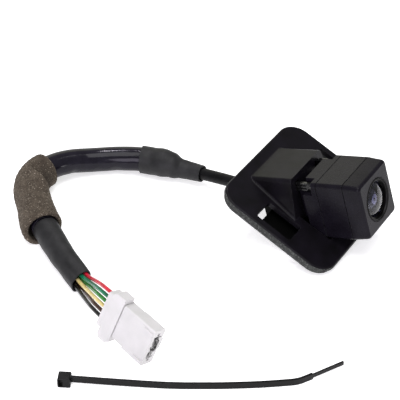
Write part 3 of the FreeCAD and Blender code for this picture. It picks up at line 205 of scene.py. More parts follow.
def softened(node, name, width, segments=3, angle=28.0):
    """A moulded copy of a CAD node: clean faces, rounded edges of the given width in millimetres."""
    form = bmesh.new()
    form.from_mesh(nodes[node].data)
    bmesh.ops.remove_doubles(form, verts=form.verts, dist=0.002 * MM)
    bmesh.ops.dissolve_limit(form, angle_limit=math.radians(0.6), verts=form.verts, edges=form.edges)
    mesh = bpy.data.meshes.new(name)
    form.to_mesh(mesh)
    form.free()
    for layer in [item.name for item in mesh.attributes if item.name == "custom_normal"]:
        mesh.attributes.remove(mesh.attributes[layer])
    smooth(mesh)
    piece = new_object(name, mesh)
    bevel = piece.modifiers.new("rounded_edges", "BEVEL")
    bevel.width = width * MM
    bevel.segments = segments
    bevel.limit_method = "ANGLE"
    bevel.angle_limit = math.radians(angle)
    bevel.use_clamp_overlap = True
    bevel.miter_outer = "MITER_ARC"
    bevel.harden_normals = False
    weighted = piece.modifiers.new("even_shading", "WEIGHTED_NORMAL")
    weighted.keep_sharp = False
    weighted.weight = 90
    return piece


def tube(name, line, start, end, outer, inner=None, step=0.5 * MM, sides=48, ease=0.3 * MM, shade=None):
    """A tube along a line with rounded ends. outer and inner give the distance from the centre line
    for a station and an angle; the angle runs from the right of travel (0) over the top. shade, when
    given, is stored with each outer point for the material to read."""
    count = max(4, round((end - start) / step))
    shares = (0.0, 0.04, 0.16, 0.4, 0.7)
    lead = [start + ease * share for share in shares]
    body = [start + ease + (end - start - 2 * ease) * index / count for index in range(count + 1)]
    tail = [end - ease * share for share in reversed(shares)]
    places = lead + body + tail
    form = bmesh.new()
    shading = form.verts.layers.float.new("shade") if shade else None

    def rings(surface, sign):
        made = []
        for place in places:
            centre = line.at(place)
            along = line.heading(place)
            side = along.cross(Vector((0, 0, 1))).normalized()
            rise = side.cross(along)
            near = min(place - start, end - place, ease)
            round_off = sign * ease * (1 - math.sqrt(max(0.0, 1 - (1 - near / ease) ** 2)))
            ring = []
            for index in range(sides):
                angle = 2 * math.pi * index / sides
                reach = surface(place, angle) - round_off
                point = form.verts.new(centre + (side * math.cos(angle) + rise * math.sin(angle)) * reach)
                if shade and sign > 0:
                    point[shading] = shade(place, angle)
                ring.append(point)
            made.append(ring)
        return made

    def skin(first, second, flip):
        for index in range(sides):
            following = (index + 1) % sides
            face = [first[index], first[following], second[following], second[index]]
            form.faces.new(face[::-1] if flip else face)

    shell = rings(outer, 1)
    for first, second in zip(shell, shell[1:]):
        skin(first, second, False)
    if inner:
        lining = rings(inner, -1)
        for first, second in zip(lining, lining[1:]):
            skin(first, second, True)
        skin(lining[0], shell[0], False)
        skin(shell[-1], lining[-1], False)
    else:
        form.faces.new(shell[0][::-1])
        form.faces.new(shell[-1])
    bmesh.ops.recalc_face_normals(form, faces=form.faces)
    mesh = bpy.data.meshes.new(name)
    form.to_mesh(mesh)
    form.free()
    smooth(mesh, 50.0)
    return new_object(name, mesh)


def turned(name, outline, place, sides=96):
    """A piece turned about its frame's Z axis; the outline is (radius, station) in millimetres."""
    form = bmesh.new()
    rings = []
    for radius, station in outline:
        if radius < 1e-6:
            rings.append([form.verts.new(place @ Vector((0, 0, station * MM)))])
            continue
        rings.append([form.verts.new(place @ Vector((radius * MM * math.cos(2 * math.pi * index / sides),
                                                     radius * MM * math.sin(2 * math.pi * index / sides),
                                                     station * MM))) for index in range(sides)])
    for first, second in zip(rings, rings[1:] + rings[:1]):
        if len(first) == 1 and len(second) == 1:
            continue
        for index in range(sides):
            following = (index + 1) % sides
            if len(first) == 1:
                form.faces.new([first[0], second[following], second[index]])
            elif len(second) == 1:
                form.faces.new([first[index], first[following], second[0]])
            else:
                form.faces.new([first[index], first[following], second[following], second[index]])
    bmesh.ops.recalc_face_normals(form, faces=form.faces)
    mesh = bpy.data.meshes.new(name)
    form.to_mesh(mesh)
    form.free()
    smooth(mesh, 40.0)
    return new_object(name, mesh)


# ---------------------------------------------------------------- materials


def tone(red, green, blue):
    """A colour given as 0 to 255 display values, as linear light."""
    return tuple((value / 255) ** 2.2 for value in (red, green, blue)) + (1.0,)


class Finish:
    """A procedural material: a principled surface with noise, edges and bumps feeding it."""

    def __init__(self, name, **constants):
        self.material = bpy.data.materials.new(name)
        self.material.use_nodes = True
        self.tree = self.material.node_tree
        self.surface = self.tree.nodes["Principled BSDF"]
        for socket, value in constants.items():
            self.surface.inputs[socket.replace("_", " ")].default_value = value
        self.place = self.tree.nodes.new("ShaderNodeTexCoord").outputs["Object"]
        self.normal = None

    def node(self, kind, **values):
        made = self.tree.nodes.new(kind)
        for key, value in values.items():
            setattr(made, key, value)
        return made

    def link(self, source, target):
        self.tree.links.new(source, target)

    def stretched(self, stretch):
        mapping = self.node("ShaderNodeMapping")
        mapping.inputs["Scale"].default_value = stretch
        self.link(self.place, mapping.inputs["Vector"])
        return mapping.outputs["Vector"]

    def noise(self, size, detail=3.0, distortion=0.0, stretch=None):
        made = self.node("ShaderNodeTexNoise")
        made.inputs["Scale"].default_value = 1 / (size * MM)
        made.inputs["Detail"].default_value = detail
        made.inputs["Distortion"].default_value = distortion
        self.link(self.stretched(stretch) if stretch else self.place, made.inputs["Vector"])
        return made.outputs["Fac"]

    def cells(self, size, feature="F1"):
        made = self.node("ShaderNodeTexVoronoi", feature=feature)
        made.inputs["Scale"].default_value = 1 / (size * MM)
        self.link(self.place, made.inputs["Vector"])
        return made.outputs["Distance"]

    def edges(self, radius):
        """How much the surface turns within the radius: 0 on flat faces, more along edges."""
        rounded = self.node("ShaderNodeBevel", samples=4)
        rounded.inputs["Radius"].default_value = radius * MM
        flat = self.node("ShaderNodeNewGeometry")
        product = self.node("ShaderNodeVectorMath", operation="DOT_PRODUCT")
        self.link(rounded.outputs["Normal"], product.inputs[0])
        self.link(flat.outputs["Normal"], product.inputs[1])
        return self.graded(product.outputs["Value"], (0.995, 0.86), (0.0, 1.0))

    def graded(self, source, reach, result):
        made = self.node("ShaderNodeMapRange")
        for socket, value in zip(("From Min", "From Max", "To Min", "To Max"), (*reach, *result)):
            made.inputs[socket].default_value = value
        self.link(source, made.inputs["Value"])
        return made.outputs["Result"]

    def stored(self, name, strength):
        """A value stored with the mesh's points, scaled."""
        made = self.node("ShaderNodeAttribute", attribute_name=name)
        return self.graded(made.outputs["Fac"], (0.0, 1.0), (0.0, strength))

    def times(self, first, second):
        made = self.node("ShaderNodeMath", operation="MULTIPLY")
        self.link(first, made.inputs[0])
        self.link(second, made.inputs[1])
        return made.outputs["Value"]

    def ramp(self, source, stops):
        made = self.node("ShaderNodeValToRGB")
        elements = made.color_ramp.elements
        while len(elements) < len(stops):
            elements.new(0.5)
        for element, (position, colour) in zip(elements, stops):
            element.position = position
            element.color = colour
        self.link(source, made.inputs["Fac"])
        return made.outputs["Color"]

    def mixed(self, first, second, share):
        made = self.node("ShaderNodeMix", data_type="RGBA")
        for source, socket in ((first, made.inputs[6]), (second, made.inputs[7]), (share, made.inputs[0])):
            if isinstance(source, (tuple, float)):
                socket.default_value = source
            else:
                self.link(source, socket)
        return made.outputs[2]

    def colour(self, source):
        self.link(source, self.surface.inputs["Base Color"])

    def roughness(self, source):
        self.link(source, self.surface.inputs["Roughness"])

    def bump(self, source, depth):
        """Adds relief of the given depth in millimetres to what is there already."""
        made = self.node("ShaderNodeBump")
        made.inputs["Strength"].default_value = 1.0
        made.inputs["Distance"].default_value = depth * MM
        self.link(source, made.inputs["Height"])
        if self.normal is not None:
            self.link(self.normal, made.inputs["Normal"])
        self.normal = made.outputs["Normal"]
        self.link(self.normal, self.surface.inputs["Normal"])


def moulded(name, dark, light, worn, rough, grain=0.18, depth=0.003, specular=0.12, wear=0.3):
    """Moulded plastic: mottled colour, spark-eroded grain, faint sink marks and paler worn edges."""
    finish = Finish(name, Specular_IOR_Level=specular)
    cloud = finish.noise(6.0, detail=4.0)
    base = finish.ramp(cloud, [(0.3, dark), (0.7, light)])
    scratches = finish.graded(finish.noise(1.6, detail=5.0), (0.42, 0.72), (0.0, wear))
    scuffs = finish.times(finish.edges(0.35), scratches)
    finish.colour(finish.mixed(base, worn, scuffs))
    finish.roughness(finish.graded(finish.noise(2.4, detail=5.0, distortion=0.6), (0.3, 0.7), rough))
    finish.bump(finish.noise(grain, detail=2.0), depth)
    finish.bump(finish.noise(7.0, detail=1.0), 0.008)
    return finish.material


def rubber(name, dark, light, speck, size=0.4, depth=0.03, rough=(0.62, 0.85)):
    """Matt rubber or felt with pale specks."""
    finish = Finish(name, Specular_IOR_Level=0.25)
    base = finish.ramp(finish.noise(1.4, detail=5.0), [(0.3, dark), (0.7, light)])
    specks = finish.graded(finish.noise(size, detail=3.0), (0.55, 0.68), (0.0, 1.0))
    finish.colour(finish.mixed(base, speck, specks))
    finish.roughness(finish.graded(finish.noise(0.8), (0.3, 0.7), rough))
    finish.bump(finish.noise(size, detail=4.0), depth)
    return finish.material


def insulation(name, colour, deep, rough=(0.22, 0.36)):
    """Glossy PVC of a wire, with extrusion streaks, a little dust and paler stress marks."""
    finish = Finish(name, Specular_IOR_Level=0.5, Coat_Weight=0.15, Coat_Roughness=0.2)
    base = finish.ramp(finish.noise(2.2, detail=4.0), [(0.25, deep), (0.6, colour)])
    dust = finish.graded(finish.noise(0.35, detail=5.0), (0.6, 0.8), (0.0, 0.16))
    finish.colour(finish.mixed(base, tone(220, 215, 205), dust))
    finish.roughness(finish.graded(finish.noise(1.0, detail=4.0), (0.3, 0.7), rough))
    finish.bump(finish.noise(0.5, detail=3.0), 0.012)
    return finish.material


def metal(name, bright, dull, rough=(0.18, 0.4), stretch=(1.0, 1.0, 6.0)):
    """Plated metal with fine drawn lines and duller stains."""
    finish = Finish(name, Metallic=1.0)
    stains = finish.noise(1.1, detail=5.0)
    finish.colour(finish.ramp(stains, [(0.35, dull), (0.65, bright)]))
    finish.roughness(finish.graded(finish.noise(0.4, detail=4.0, stretch=stretch), (0.3, 0.7), rough))
    finish.bump(finish.noise(0.12, detail=3.0, stretch=stretch), 0.003)
    return finish.material


def circuit_board(name):
    """Green solder mask over copper tracks, with bare pads."""
    finish = Finish(name, Specular_IOR_Level=0.5, Coat_Weight=0.3, Coat_Roughness=0.15)
    tracks = finish.graded(finish.cells(1.3, feature="DISTANCE_TO_EDGE"), (0.04, 0.07), (1.0, 0.0))
    mask = finish.mixed(tone(10, 70, 42), tone(24, 104, 62), tracks)
    pads = finish.graded(finish.cells(0.9), (0.16, 0.2), (1.0, 0.0))
    finish.colour(finish.mixed(mask, tone(196, 160, 84), pads))
    finish.roughness(finish.graded(finish.noise(0.7), (0.3, 0.7), (0.25, 0.45)))
    finish.bump(tracks, 0.02)
    return finish.material


THIN_GLASS_BEND = 1.06


def glass(name, tint, rough):
    """Thin coated glass that barely bends the view, with a bright coating and a faint film of dust."""
    finish = Finish(name, Transmission_Weight=1.0, IOR=THIN_GLASS_BEND, Coat_Weight=1.0, Coat_Roughness=0.015,
                    Coat_IOR=1.38)
    finish.surface.inputs["Coat Tint"].default_value = (0.9, 0.9, 1.0, 1.0)
    darker = tuple(value * 0.9 for value in tint[:3]) + (1.0,)
    finish.colour(finish.ramp(finish.noise(3.0), [(0.3, tint), (0.7, darker)]))
    finish.roughness(finish.graded(finish.noise(0.8, detail=4.0), (0.55, 0.8), rough))
    return finish.material


def foam_rubber(name):
    """Open-cell foam, grey brown, with pores darkened by painted shade, pale flecks, and painted shade read
    from the mesh on the short side of its fold.
    """
    finish = Finish(name, Specular_IOR_Level=0.1, Sheen_Weight=0.12, Sheen_Roughness=0.6, Roughness=0.95)
    finish.surface.inputs["Sheen Tint"].default_value = tone(200, 190, 175)
    base = finish.ramp(finish.noise(3.5, detail=5.0), [(0.3, tone(62, 55, 48)), (0.7, tone(84, 76, 67))])
    pores = finish.graded(finish.cells(0.6), (0.18, 0.45), (1.0, 0.0))
    # painted shade: the pores' hollows are darkened in colour as well as sunk by the bump below
    dark = finish.mixed(base, tone(26, 22, 20), finish.times(pores, finish.noise(0.9)))
    flecks = finish.graded(finish.noise(0.5, detail=2.0), (0.62, 0.7), (0.0, 0.8))
    open_foam = finish.mixed(dark, tone(160, 150, 136), flecks)
    # painted shade: the colour goes to a dark brown where the mesh's stored shade is high, on the short side of
    # the fold
    finish.colour(finish.mixed(open_foam, tone(34, 29, 28), finish.stored("shade", 0.85)))
    finish.bump(pores, -0.2)
    finish.bump(finish.noise(0.5, detail=4.0), 0.15)
    return finish.material


def vinyl(name, dark, light, rough, creases=0.05, specular=0.5):
    """Soft extruded plastic: long die lines, small creases and smears of gloss."""
    finish = Finish(name, Specular_IOR_Level=specular)
    finish.colour(finish.ramp(finish.noise(4.0, detail=5.0), [(0.3, dark), (0.7, light)]))
    finish.roughness(finish.graded(finish.noise(2.0, detail=5.0, distortion=0.8), (0.3, 0.7), rough))
    finish.bump(finish.noise(2.6, detail=3.0, distortion=0.4), creases)
    finish.bump(finish.noise(0.3, detail=2.0), 0.006)
    return finish.material


PALE_EDGE = tone(84, 84, 88)  # worn edges of the black plastics

finishes = {
    "housing": moulded("moulded_housing", tone(22, 20, 25), tone(27, 25, 31), PALE_EDGE, (0.24, 0.3),
                       specular=0.09),
    "bezel": moulded("moulded_bezel", tone(19, 18, 20), tone(25, 23, 28), PALE_EDGE, (0.28, 0.34), grain=0.22,
                     specular=0.09),
    # the rim's grain is real; its paler colour is painted light, for the front light its side walls catch
    "rim": rubber("grained_rim_painted_lighter", tone(36, 37, 36), tone(58, 60, 58), tone(88, 90, 88), size=0.55, depth=0.04),
    # painted shade: the bracket's colour is darker than the other black plastics, for the shade in the slot
    # under the plate
    "bracket": moulded("moulded_bracket_painted_shade", tone(5, 5, 5), tone(9, 9, 9), PALE_EDGE, (0.5, 0.62), specular=0.05,
                       wear=0.1),
    "latch": moulded("moulded_latch", tone(10, 10, 10), tone(18, 18, 18), PALE_EDGE, (0.16, 0.24),
                     specular=0.5),
    "nylon": moulded("tie_nylon", tone(8, 8, 8), tone(15, 15, 16), tone(80, 80, 82), (0.24, 0.36),
                     specular=0.16),
    "connector": moulded("white_nylon", tone(193, 192, 191), tone(202, 200, 200), tone(212, 211, 210),
                         (0.34, 0.46), specular=0.25),
    "seal": rubber("silicone_seal", tone(6, 6, 6), tone(10, 10, 10), tone(18, 18, 18)),
    "gasket": rubber("foam_gasket", tone(44, 45, 44), tone(74, 76, 74), tone(110, 112, 110), size=0.5,
                     depth=0.06),
    "gland": rubber("rubber_gland", tone(12, 12, 12), tone(22, 22, 23), tone(36, 36, 36)),
    "cable": vinyl("cable_jacket", tone(10, 10, 11), tone(20, 20, 22), (0.34, 0.5), specular=0.14),
    "sleeve": vinyl("shrunk_sleeve", tone(32, 32, 33), tone(43, 43, 44), (0.45, 0.6), specular=0.2),
    "tube": vinyl("vinyl_tube", tone(24, 22, 29), tone(32, 30, 38), (0.1, 0.16), creases=0.04, specular=0.16),
    "bundle": vinyl("taped_bundle", tone(12, 12, 13), tone(26, 26, 28), (0.4, 0.6), creases=0.1,
                    specular=0.3),
    "foam": foam_rubber("foam_sleeve_cells"),
    "barrel": moulded("lens_barrel_black", tone(8, 8, 8), tone(14, 14, 14), PALE_EDGE, (0.3, 0.4),
                      specular=0.2, wear=0.1),
    "lens": glass("lens_glass", (0.8, 0.8, 0.86, 1.0), (0.0, 0.02)),
    "inner_lens": glass("inner_lens_glass", (0.5, 0.56, 0.54, 1.0), (0.0, 0.03)),
    "pupil": moulded("pupil_ring", tone(86, 86, 90), tone(110, 110, 114), PALE_EDGE, (0.3, 0.4),
                     specular=0.4),
    "blackened": moulded("blackened_glass_back", tone(9, 9, 10), tone(15, 15, 17), tone(20, 20, 22),
                         (0.5, 0.7), specular=0.05, wear=0.1),
    "filter": glass("infrared_filter_glass", (0.4, 0.1, 0.14, 1.0), (0.01, 0.05)),
    "screw": metal("zinc_screw", tone(190, 188, 184), tone(120, 118, 116)),
    "can": metal("tinned_can", tone(200, 200, 198), tone(150, 150, 148)),
    "terminal": metal("tinned_terminal", tone(206, 200, 186), tone(150, 142, 126)),
    "board": circuit_board("solder_mask"),
    "wire_red": insulation("pvc_red", tone(196, 36, 56), tone(150, 18, 36)),
    "wire_green": insulation("pvc_green", tone(16, 112, 80), tone(6, 74, 50)),
    "wire_light_green": insulation("pvc_light_green", tone(52, 124, 54), tone(26, 86, 32)),
    "wire_cream": insulation("pvc_cream", tone(212, 194, 132), tone(176, 154, 88)),
    "wire_brown": insulation("pvc_brown", tone(58, 34, 24), tone(32, 18, 12)),
    "wire_black": insulation("pvc_black", tone(20, 20, 20), tone(8, 8, 8)),
}

# ---------------------------------------------------------------- camera, light and floor

CAMERA_PLACE = Vector((196.66, -369.17, 365.47)) * MM
CAMERA_BACK = Vector((0.4134, -0.6787, 0.6071))

camera_data = bpy.data.cameras.new("view")
camera_data.lens = 135
camera_data.sensor_width = 36
camera = new_object("view", camera_data)
camera.location = CAMERA_PLACE
camera.rotation_mode = "QUATERNION"
camera.rotation_quaternion = (-CAMERA_BACK).to_track_quat("-Z", "Y")
scene.camera = camera
scene.view_settings.view_transform = "Standard"


LIT_PLACE = Vector((-0.02, 0.0, 0.01))


def softbox(name, place, size, power, colour=(1.0, 1.0, 1.0)):
    """A square soft light that faces the middle of the object."""
    data = bpy.data.lights.new(name, "AREA")
    data.size = size
    data.energy = power
    data.color = colour
    lamp = new_object(name, data)
    lamp.location = place
    lamp.rotation_mode = "QUATERNION"
    lamp.rotation_quaternion = (LIT_PLACE - Vector(place)).to_track_quat("-Z", "Y")


softbox("overhead_box", (0.05, -0.10, 0.95), 0.7, 6.5)
softbox("back_left_card", (-0.72, 0.72, 0.42), 0.6, 0.9, (1.0, 1.0, 0.78))
softbox("front_fill", (0.15, -0.9, 0.38), 0.5, 4.5, (0.9, 0.84, 1.0))
softbox("small_lamp", (0.9, -0.10, 0.10), 0.1, 0.4)
softbox("glint_lamp", (-0.35, 0.35, 0.80), 0.07, 1.2, (0.95, 0.9, 1.0))

world = bpy.data.worlds.new("studio")
world.use_nodes = True
world.node_tree.nodes["Background"].inputs["Color"].default_value = (1.0, 1.0, 1.0, 1.0)
world.node_tree.nodes["Background"].inputs["Strength"].default_value = 0.5
scene.world = world

floor_mesh = bpy.data.meshes.new("floor")
floor_form = bmesh.new()
bmesh.ops.create_grid(floor_form, x_segments=1, y_segments=1, size=3.0)
floor_form.to_mesh(floor_mesh)
floor_form.free()
floor = new_object("floor", floor_mesh)
paper = Finish("white_paper", Specular_IOR_Level=0.1, Roughness=0.9, Emission_Strength=0.55)
paper.surface.inputs["Emission Color"].default_value = (1.0, 1.0, 1.0, 1.0)
paper.colour(paper.ramp(paper.noise(30.0), [(0.3, (0.90, 0.90, 0.90, 1.0)), (0.7, (0.93, 0.93, 0.93, 1.0))]))
paper.bump(paper.noise(0.8, detail=4.0), 0.01)
floor_mesh.materials.append(paper.material)

# ---------------------------------------------------------------- camera body


def camera_body():
    for node, name, width in (("camera_front_cover", "front_cover_shell", 0.45),
                              ("camera_mid_housing", "mid_housing_shell", 0.22),
                              ("camera_rear_cover", "rear_cover_shell", 0.25)):
        finish_piece(softened(node, name, width), "camera", finishes["housing"], [node])
    for node, body in (("left_latch_arm", "left_latch"), ("right_latch_arm", "right_latch")):
        finish_piece(softened(node, node.replace("_arm", "_spring_arm"), 0.15), body,
                     finishes["latch"], [node])


# The rim in the bezel's own frame: the band along its sides, its back and front, and its top.
RIM_BAND = 3.0 * MM
RIM_BACK = -3.2 * MM
RIM_FRONT = 45.2 * MM
RIM_TOP = -0.4 * MM
RIM_SLANT = 0.6               # faces that look up or down more than this are not its wall


def mark_rim(piece):
    """Gives the faces around the bezel's outer wall the rim's grained finish, its colour painted lighter for
    the light the wall catches from the front.
    """
    piece.data.materials.append(finishes["rim"])
    into_bezel = BEZEL.inverted()
    low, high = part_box("mounting_bezel")
    half_width = (high.y - low.y) / 2
    for face in piece.data.polygons:
        place = into_bezel @ face.center
        outward = into_bezel.to_3x3() @ face.normal
        outer = abs(place.y) > half_width - RIM_BAND or place.x < RIM_BACK or place.x > RIM_FRONT
        if outer and place.z < RIM_TOP and abs(outward.z) < RIM_SLANT:
            face.material_index = 1


def bezel_group():
    bezel = softened("mounting_bezel", "bezel_moulding", 0.3)
    finish_piece(bezel, "camera", finishes["bezel"], ["mounting_bezel"])
    mark_rim(bezel)
    finish_piece(softened("bezel_gasket", "gasket_strip", 0.3), "camera",
                 finishes["gasket"], ["bezel_gasket"])
    finish_piece(softened("camera_bracket", "bracket_moulding", 0.3), "camera",
                 finishes["bracket"], ["camera_bracket"])
    for node, body in (("left_panel_clip", "left_clip"), ("right_panel_clip", "right_clip")):
        finish_piece(softened(node, node.replace("panel", "sprung"), 0.15), body,
                     finishes["latch"], [node])
    finish_piece(softened("bracket_screws", "bracket_pan_screws", 0.12), "camera",
                 finishes["screw"], ["bracket_screws"])


# ---------------------------------------------------------------- lens


def dome(radius, rise, crown, steps=14):
    """Points of a round dome's outline from its top to its rim."""
    sphere = (radius ** 2 + rise ** 2) / (2 * rise)
    edge = math.asin(min(1.0, radius / sphere))
    points = []
    for index in range(steps + 1):
        angle = edge * index / steps
        points.append((sphere * math.sin(angle), crown - sphere * (1 - math.cos(angle))))
    points[0] = (0.0, crown)
    return points


PUPIL_OPENING = 1.9           # radius left clear in the blackened back
BLACKENED_THICKNESS = 0.25


def lens_pieces():
    """The dome lens, its blackened back round the pupil, its barrel and the soft ring round that."""
    glass_outline = dome(7.2, 2.4, 47.25) + [(7.2, 44.6), (7.15, 43.05), (7.05, 43.0), (5.4, 43.0)]
    glass_outline += reversed(dome(5.3, 2.35, 45.35))
    finish_piece(turned("front_lens_dome", glass_outline, CAMERA), "camera",
                 finishes["lens"], ["front_lens"])
    shade = [(radius, station) for radius, station in dome(5.2, 2.3, 45.27) if radius > PUPIL_OPENING]
    shade += [(radius, station - BLACKENED_THICKNESS) for radius, station in reversed(shade)]
    finish_piece(turned("blackened_lens_back", shade, CAMERA), "camera", finishes["blackened"])
    pupil = [(0.75, 44.9), (0.8, 45.14), (0.95, 45.22), (1.15, 45.18), (1.3, 45.08), (1.6, 45.08), (1.8, 45.02),
             (1.85, 44.9)]
    finish_piece(turned("pupil_ring", pupil, CAMERA), "camera", finishes["pupil"])
    face = [(7.25, 42.95), (7.25, 45.8), (7.28, 46.2), (7.36, 46.5), (7.46, 46.6), (7.6, 46.6), (7.68, 46.55),
            (7.7, 46.45), (7.7, 42.3), (7.6, 42.2), (6.0, 42.2), (6.0, 33.3), (5.9, 33.2), (3.6, 33.2),
            (3.6, 38.2), (4.6, 38.2), (4.6, 42.95)]
    finish_piece(turned("lens_barrel_ring", face, CAMERA), "camera", finishes["barrel"],
                 ["lens_barrel"])
    lip = [(7.73, 45.2), (8.35, 45.2), (8.35, 46.72), (8.28, 46.88), (8.14, 46.95), (7.98, 46.95),
           (7.82, 46.88), (7.73, 46.74)]
    finish_piece(turned("lens_seal_lip", lip, CAMERA), "camera", finishes["seal"],
                 ["lens_seal_ring"])


CAD_FINISHES = {
    "lens_retaining_ring": ("lens_barrel", "barrel"),
    "second_lens": ("lens_glass", "inner_lens"),
    "third_lens": ("lens_glass", "inner_lens"),
    "lens_spacer_ring": ("lens_barrel", "barrel"),
    "aperture_stop": ("lens_barrel", "barrel"),
    "infrared_filter": ("infrared_filter", "filter"),
    "lens_holder": ("lens_holder", "bracket"),
    "image_sensor": ("image_sensor", "filter"),
    "sensor_board": ("circuit_boards", "board"),
    "main_board": ("circuit_boards", "board"),
    "board_spacers": ("board_spacers", "can"),
    "board_screws": ("small_screws", "screw"),
    "housing_screws": ("small_screws", "screw"),
    "board_link": ("board_link", "bracket"),
    "shield_can": ("shield_can", "can"),
    "cable_header": ("cable_header", "connector"),
    "cable_plug": ("cable_header", "connector"),
    "front_housing_seal": ("housing_seals", "seal"),
    "rear_housing_seal": ("housing_seals", "seal"),
    "connector_terminals": ("connector_terminals", "terminal"),
}


def carried_nodes():
    """CAD nodes whose shape is already right: they only get a material."""
    for node, (slot, finish) in CAD_FINISHES.items():
        thing = nodes[node]
        thing.data.materials.clear()
        thing.data.materials.append(finishes[finish])


# ---------------------------------------------------------------- harness


def bell(value, middle, width):
    return math.exp(-((value - middle) / width) ** 2)


def stepped(profile, station):
    """The value of a (station, value) list at a station, eased between its entries."""
    if station <= profile[0][0]:
        return profile[0][1]
    for (low, before), (high, after) in zip(profile, profile[1:]):
        if station <= high:
            share = (station - low) / (high - low)
            share = share * share * (3 - 2 * share)
            return before + (after - before) * share
    return profile[-1][1]


def ripple(station, angle, radius, size, seed):
    """Smooth unevenness over a tube's surface, about -1 to 1, that closes round its girth."""
    point = Vector((radius * math.cos(angle), radius * math.sin(angle), station)) / size
    return noise.noise(point + Vector((seed, 2.3 * seed, -1.7 * seed)))


# Each dent of the conduit: its place along it, its girth angle, its depth and its width.
TUBE_DENTS = [(15.0, 3.6, 0.45, 2.4), (22.5, 3.5, 0.3, 1.6), (33.0, 3.7, 0.35, 1.8)]
DENT_GIRTH = 0.5              # half width of a dent round the girth, in radians
FOLD_PLACE = 18.0             # where the foam is folded, along it, on the inside of the bend
FOLD_LEAN = 10.6              # how much sooner, per radian, the fold comes over the top
FOLD_TOP = -0.8               # the girth angle from which it leans, from the inside of the bend
MOUTH_SIDE = -0.2             # the girth angle at which the foam's mouth gapes most
SLEEVE_LEAN = 2.23            # girth angle of the flattened rear sleeve's wide way


def foam_fold(s, a, start):
    """The distance along the foam, the place of its fold there, and the angle from the inside of the bend."""
    inner_side = math.remainder(a - math.pi, 2 * math.pi)
    return (s - start) / MM, FOLD_PLACE - FOLD_LEAN * max(0.0, FOLD_TOP - inner_side), inner_side


def camera_lead():
    start, end = on_harness(CABLE)
    cable = tube("camera_lead", harness, start, end,
                 lambda s, a: (CABLE_RADIUS + 0.03 * ripple(s, a, 2.4 * MM, 4 * MM, 1)) * MM, sides=40)
    finish_piece(cable, "camera", finishes["cable"], ["camera_cable"])


def taped_bundle():
    start, end = on_harness(BUNDLE)
    bundle = tube("taped_wire_bundle", harness, start, end,
                  lambda s, a: (BUNDLE_RADIUS + 0.05 * math.cos(6 * a + s / (4 * MM))) * MM, sides=36)
    finish_piece(bundle, "camera", finishes["bundle"], ["wire_bundle"])


def front_sleeve():
    """The stepped sleeve over the splice, lifted and folded where it steps up to the conduit."""
    start, end = on_harness(FRONT_SLEEVE)
    profile = [(0.0, 3.45), (5.5, 3.7), (9.0, 3.95), (13.2, 5.15), (17.5, 5.8), (22.0, 5.75), (26.8, 5.7)]
    lift = [(8.5, 0.0), (14.5, 0.75), (18.5, 0.6), (22.5, 0.0)]

    def outer(s, a):
        t = (s - start) / MM
        swell = 0.1 * ripple(s, a, 5 * MM, 4 * MM, 4)
        folds = 0.12 * bell(t, 11.5, 1.2) * math.cos(3 * a)
        return (stepped(profile, t) + stepped(lift, t) * math.sin(a) + swell + folds) * MM

    sleeve = tube("front_shrunk_sleeve", harness, start, end, outer,
                  lambda s, a: outer(s, a) - SLEEVE_WALL * MM, step=0.4 * MM, sides=72, ease=0.2 * MM)
    finish_piece(sleeve, "camera", finishes["sleeve"], ["front_shrink_sleeve"])


def conduit():
    start, end = on_harness(TUBE)

    def outer(s, a):
        t = (s - start) / MM
        dents = 0.0
        for place, girth, depth, width in TUBE_DENTS:
            dents += depth * bell(t, place, width) * bell(math.remainder(a - girth, 2 * math.pi), 0, DENT_GIRTH)
        return (TUBE_RADIUS - dents + 0.06 * ripple(s, a, 5 * MM, 8 * MM, 7)) * MM

    outer_tube = tube("vinyl_conduit", harness, start, end, outer,
                      lambda s, a: outer(s, a) - TUBE_WALL * MM, step=0.4 * MM, sides=80, ease=0.25 * MM)
    finish_piece(outer_tube, "camera", finishes["tube"], ["harness_tube"])


def foam_wrap():
    """The foam sleeve: folded on the inside of the bend, pored, and gaping at its far mouth."""
    start, end = on_harness(FOAM)

    def gape(a):
        return max(0.0, math.cos(a - MOUTH_SIDE))

    def outer(s, a):
        t, fold, inner_side = foam_fold(s, a, start)
        crease = 1.65 * bell(t, fold - 0.6, 6.0 if t < fold - 0.6 else 0.6) * bell(inner_side, -0.5, 1.1)
        lip = 2.2 * bell(t, fold + 1.1, 0.9 if t < fold + 1.1 else 5.5) * bell(inner_side, -1.05, 0.5)
        pores = 0.16 * ripple(s, a, 7 * MM, 0.8 * MM, 11) + 0.1 * ripple(s, a, 7 * MM, 0.4 * MM, 17)
        swell = 0.25 * ripple(s, a, 7 * MM, 9 * MM, 5)
        mouth = stepped([(24.0, 0.0), (40.0, 1.0)], t) * gape(a)
        return (FOAM_RADIUS - crease + lip + pores + swell + 1.7 * mouth) * MM

    def bore(s, a):
        mouth = stepped([(30.0, 0.0), (40.0, 1.0)], (s - start) / MM)
        return (FOAM_BORE + 0.1 * ripple(s, a, 5 * MM, 0.8 * MM, 3) + mouth * (0.4 + 1.2 * gape(a))) * MM

    # painted shade: a dark mask stored on the foam's points on the short side of its fold, where the lip shades
    # it
    def painted_fold_shade(s, a):
        """How much painted shade darkens the foam: on the short side of its fold."""
        t, fold, inner_side = foam_fold(s, a, start)
        return bell(t, fold - 0.2, 14.0 if t < fold - 0.2 else 0.5) * bell(inner_side, -0.3, 0.95)

    foam = tube("foam_wrap", harness, start, end, outer, bore, step=0.3 * MM, sides=150, ease=0.7 * MM,
                shade=painted_fold_shade)
    finish_piece(foam, "camera", finishes["foam"], ["foam_sleeve"])


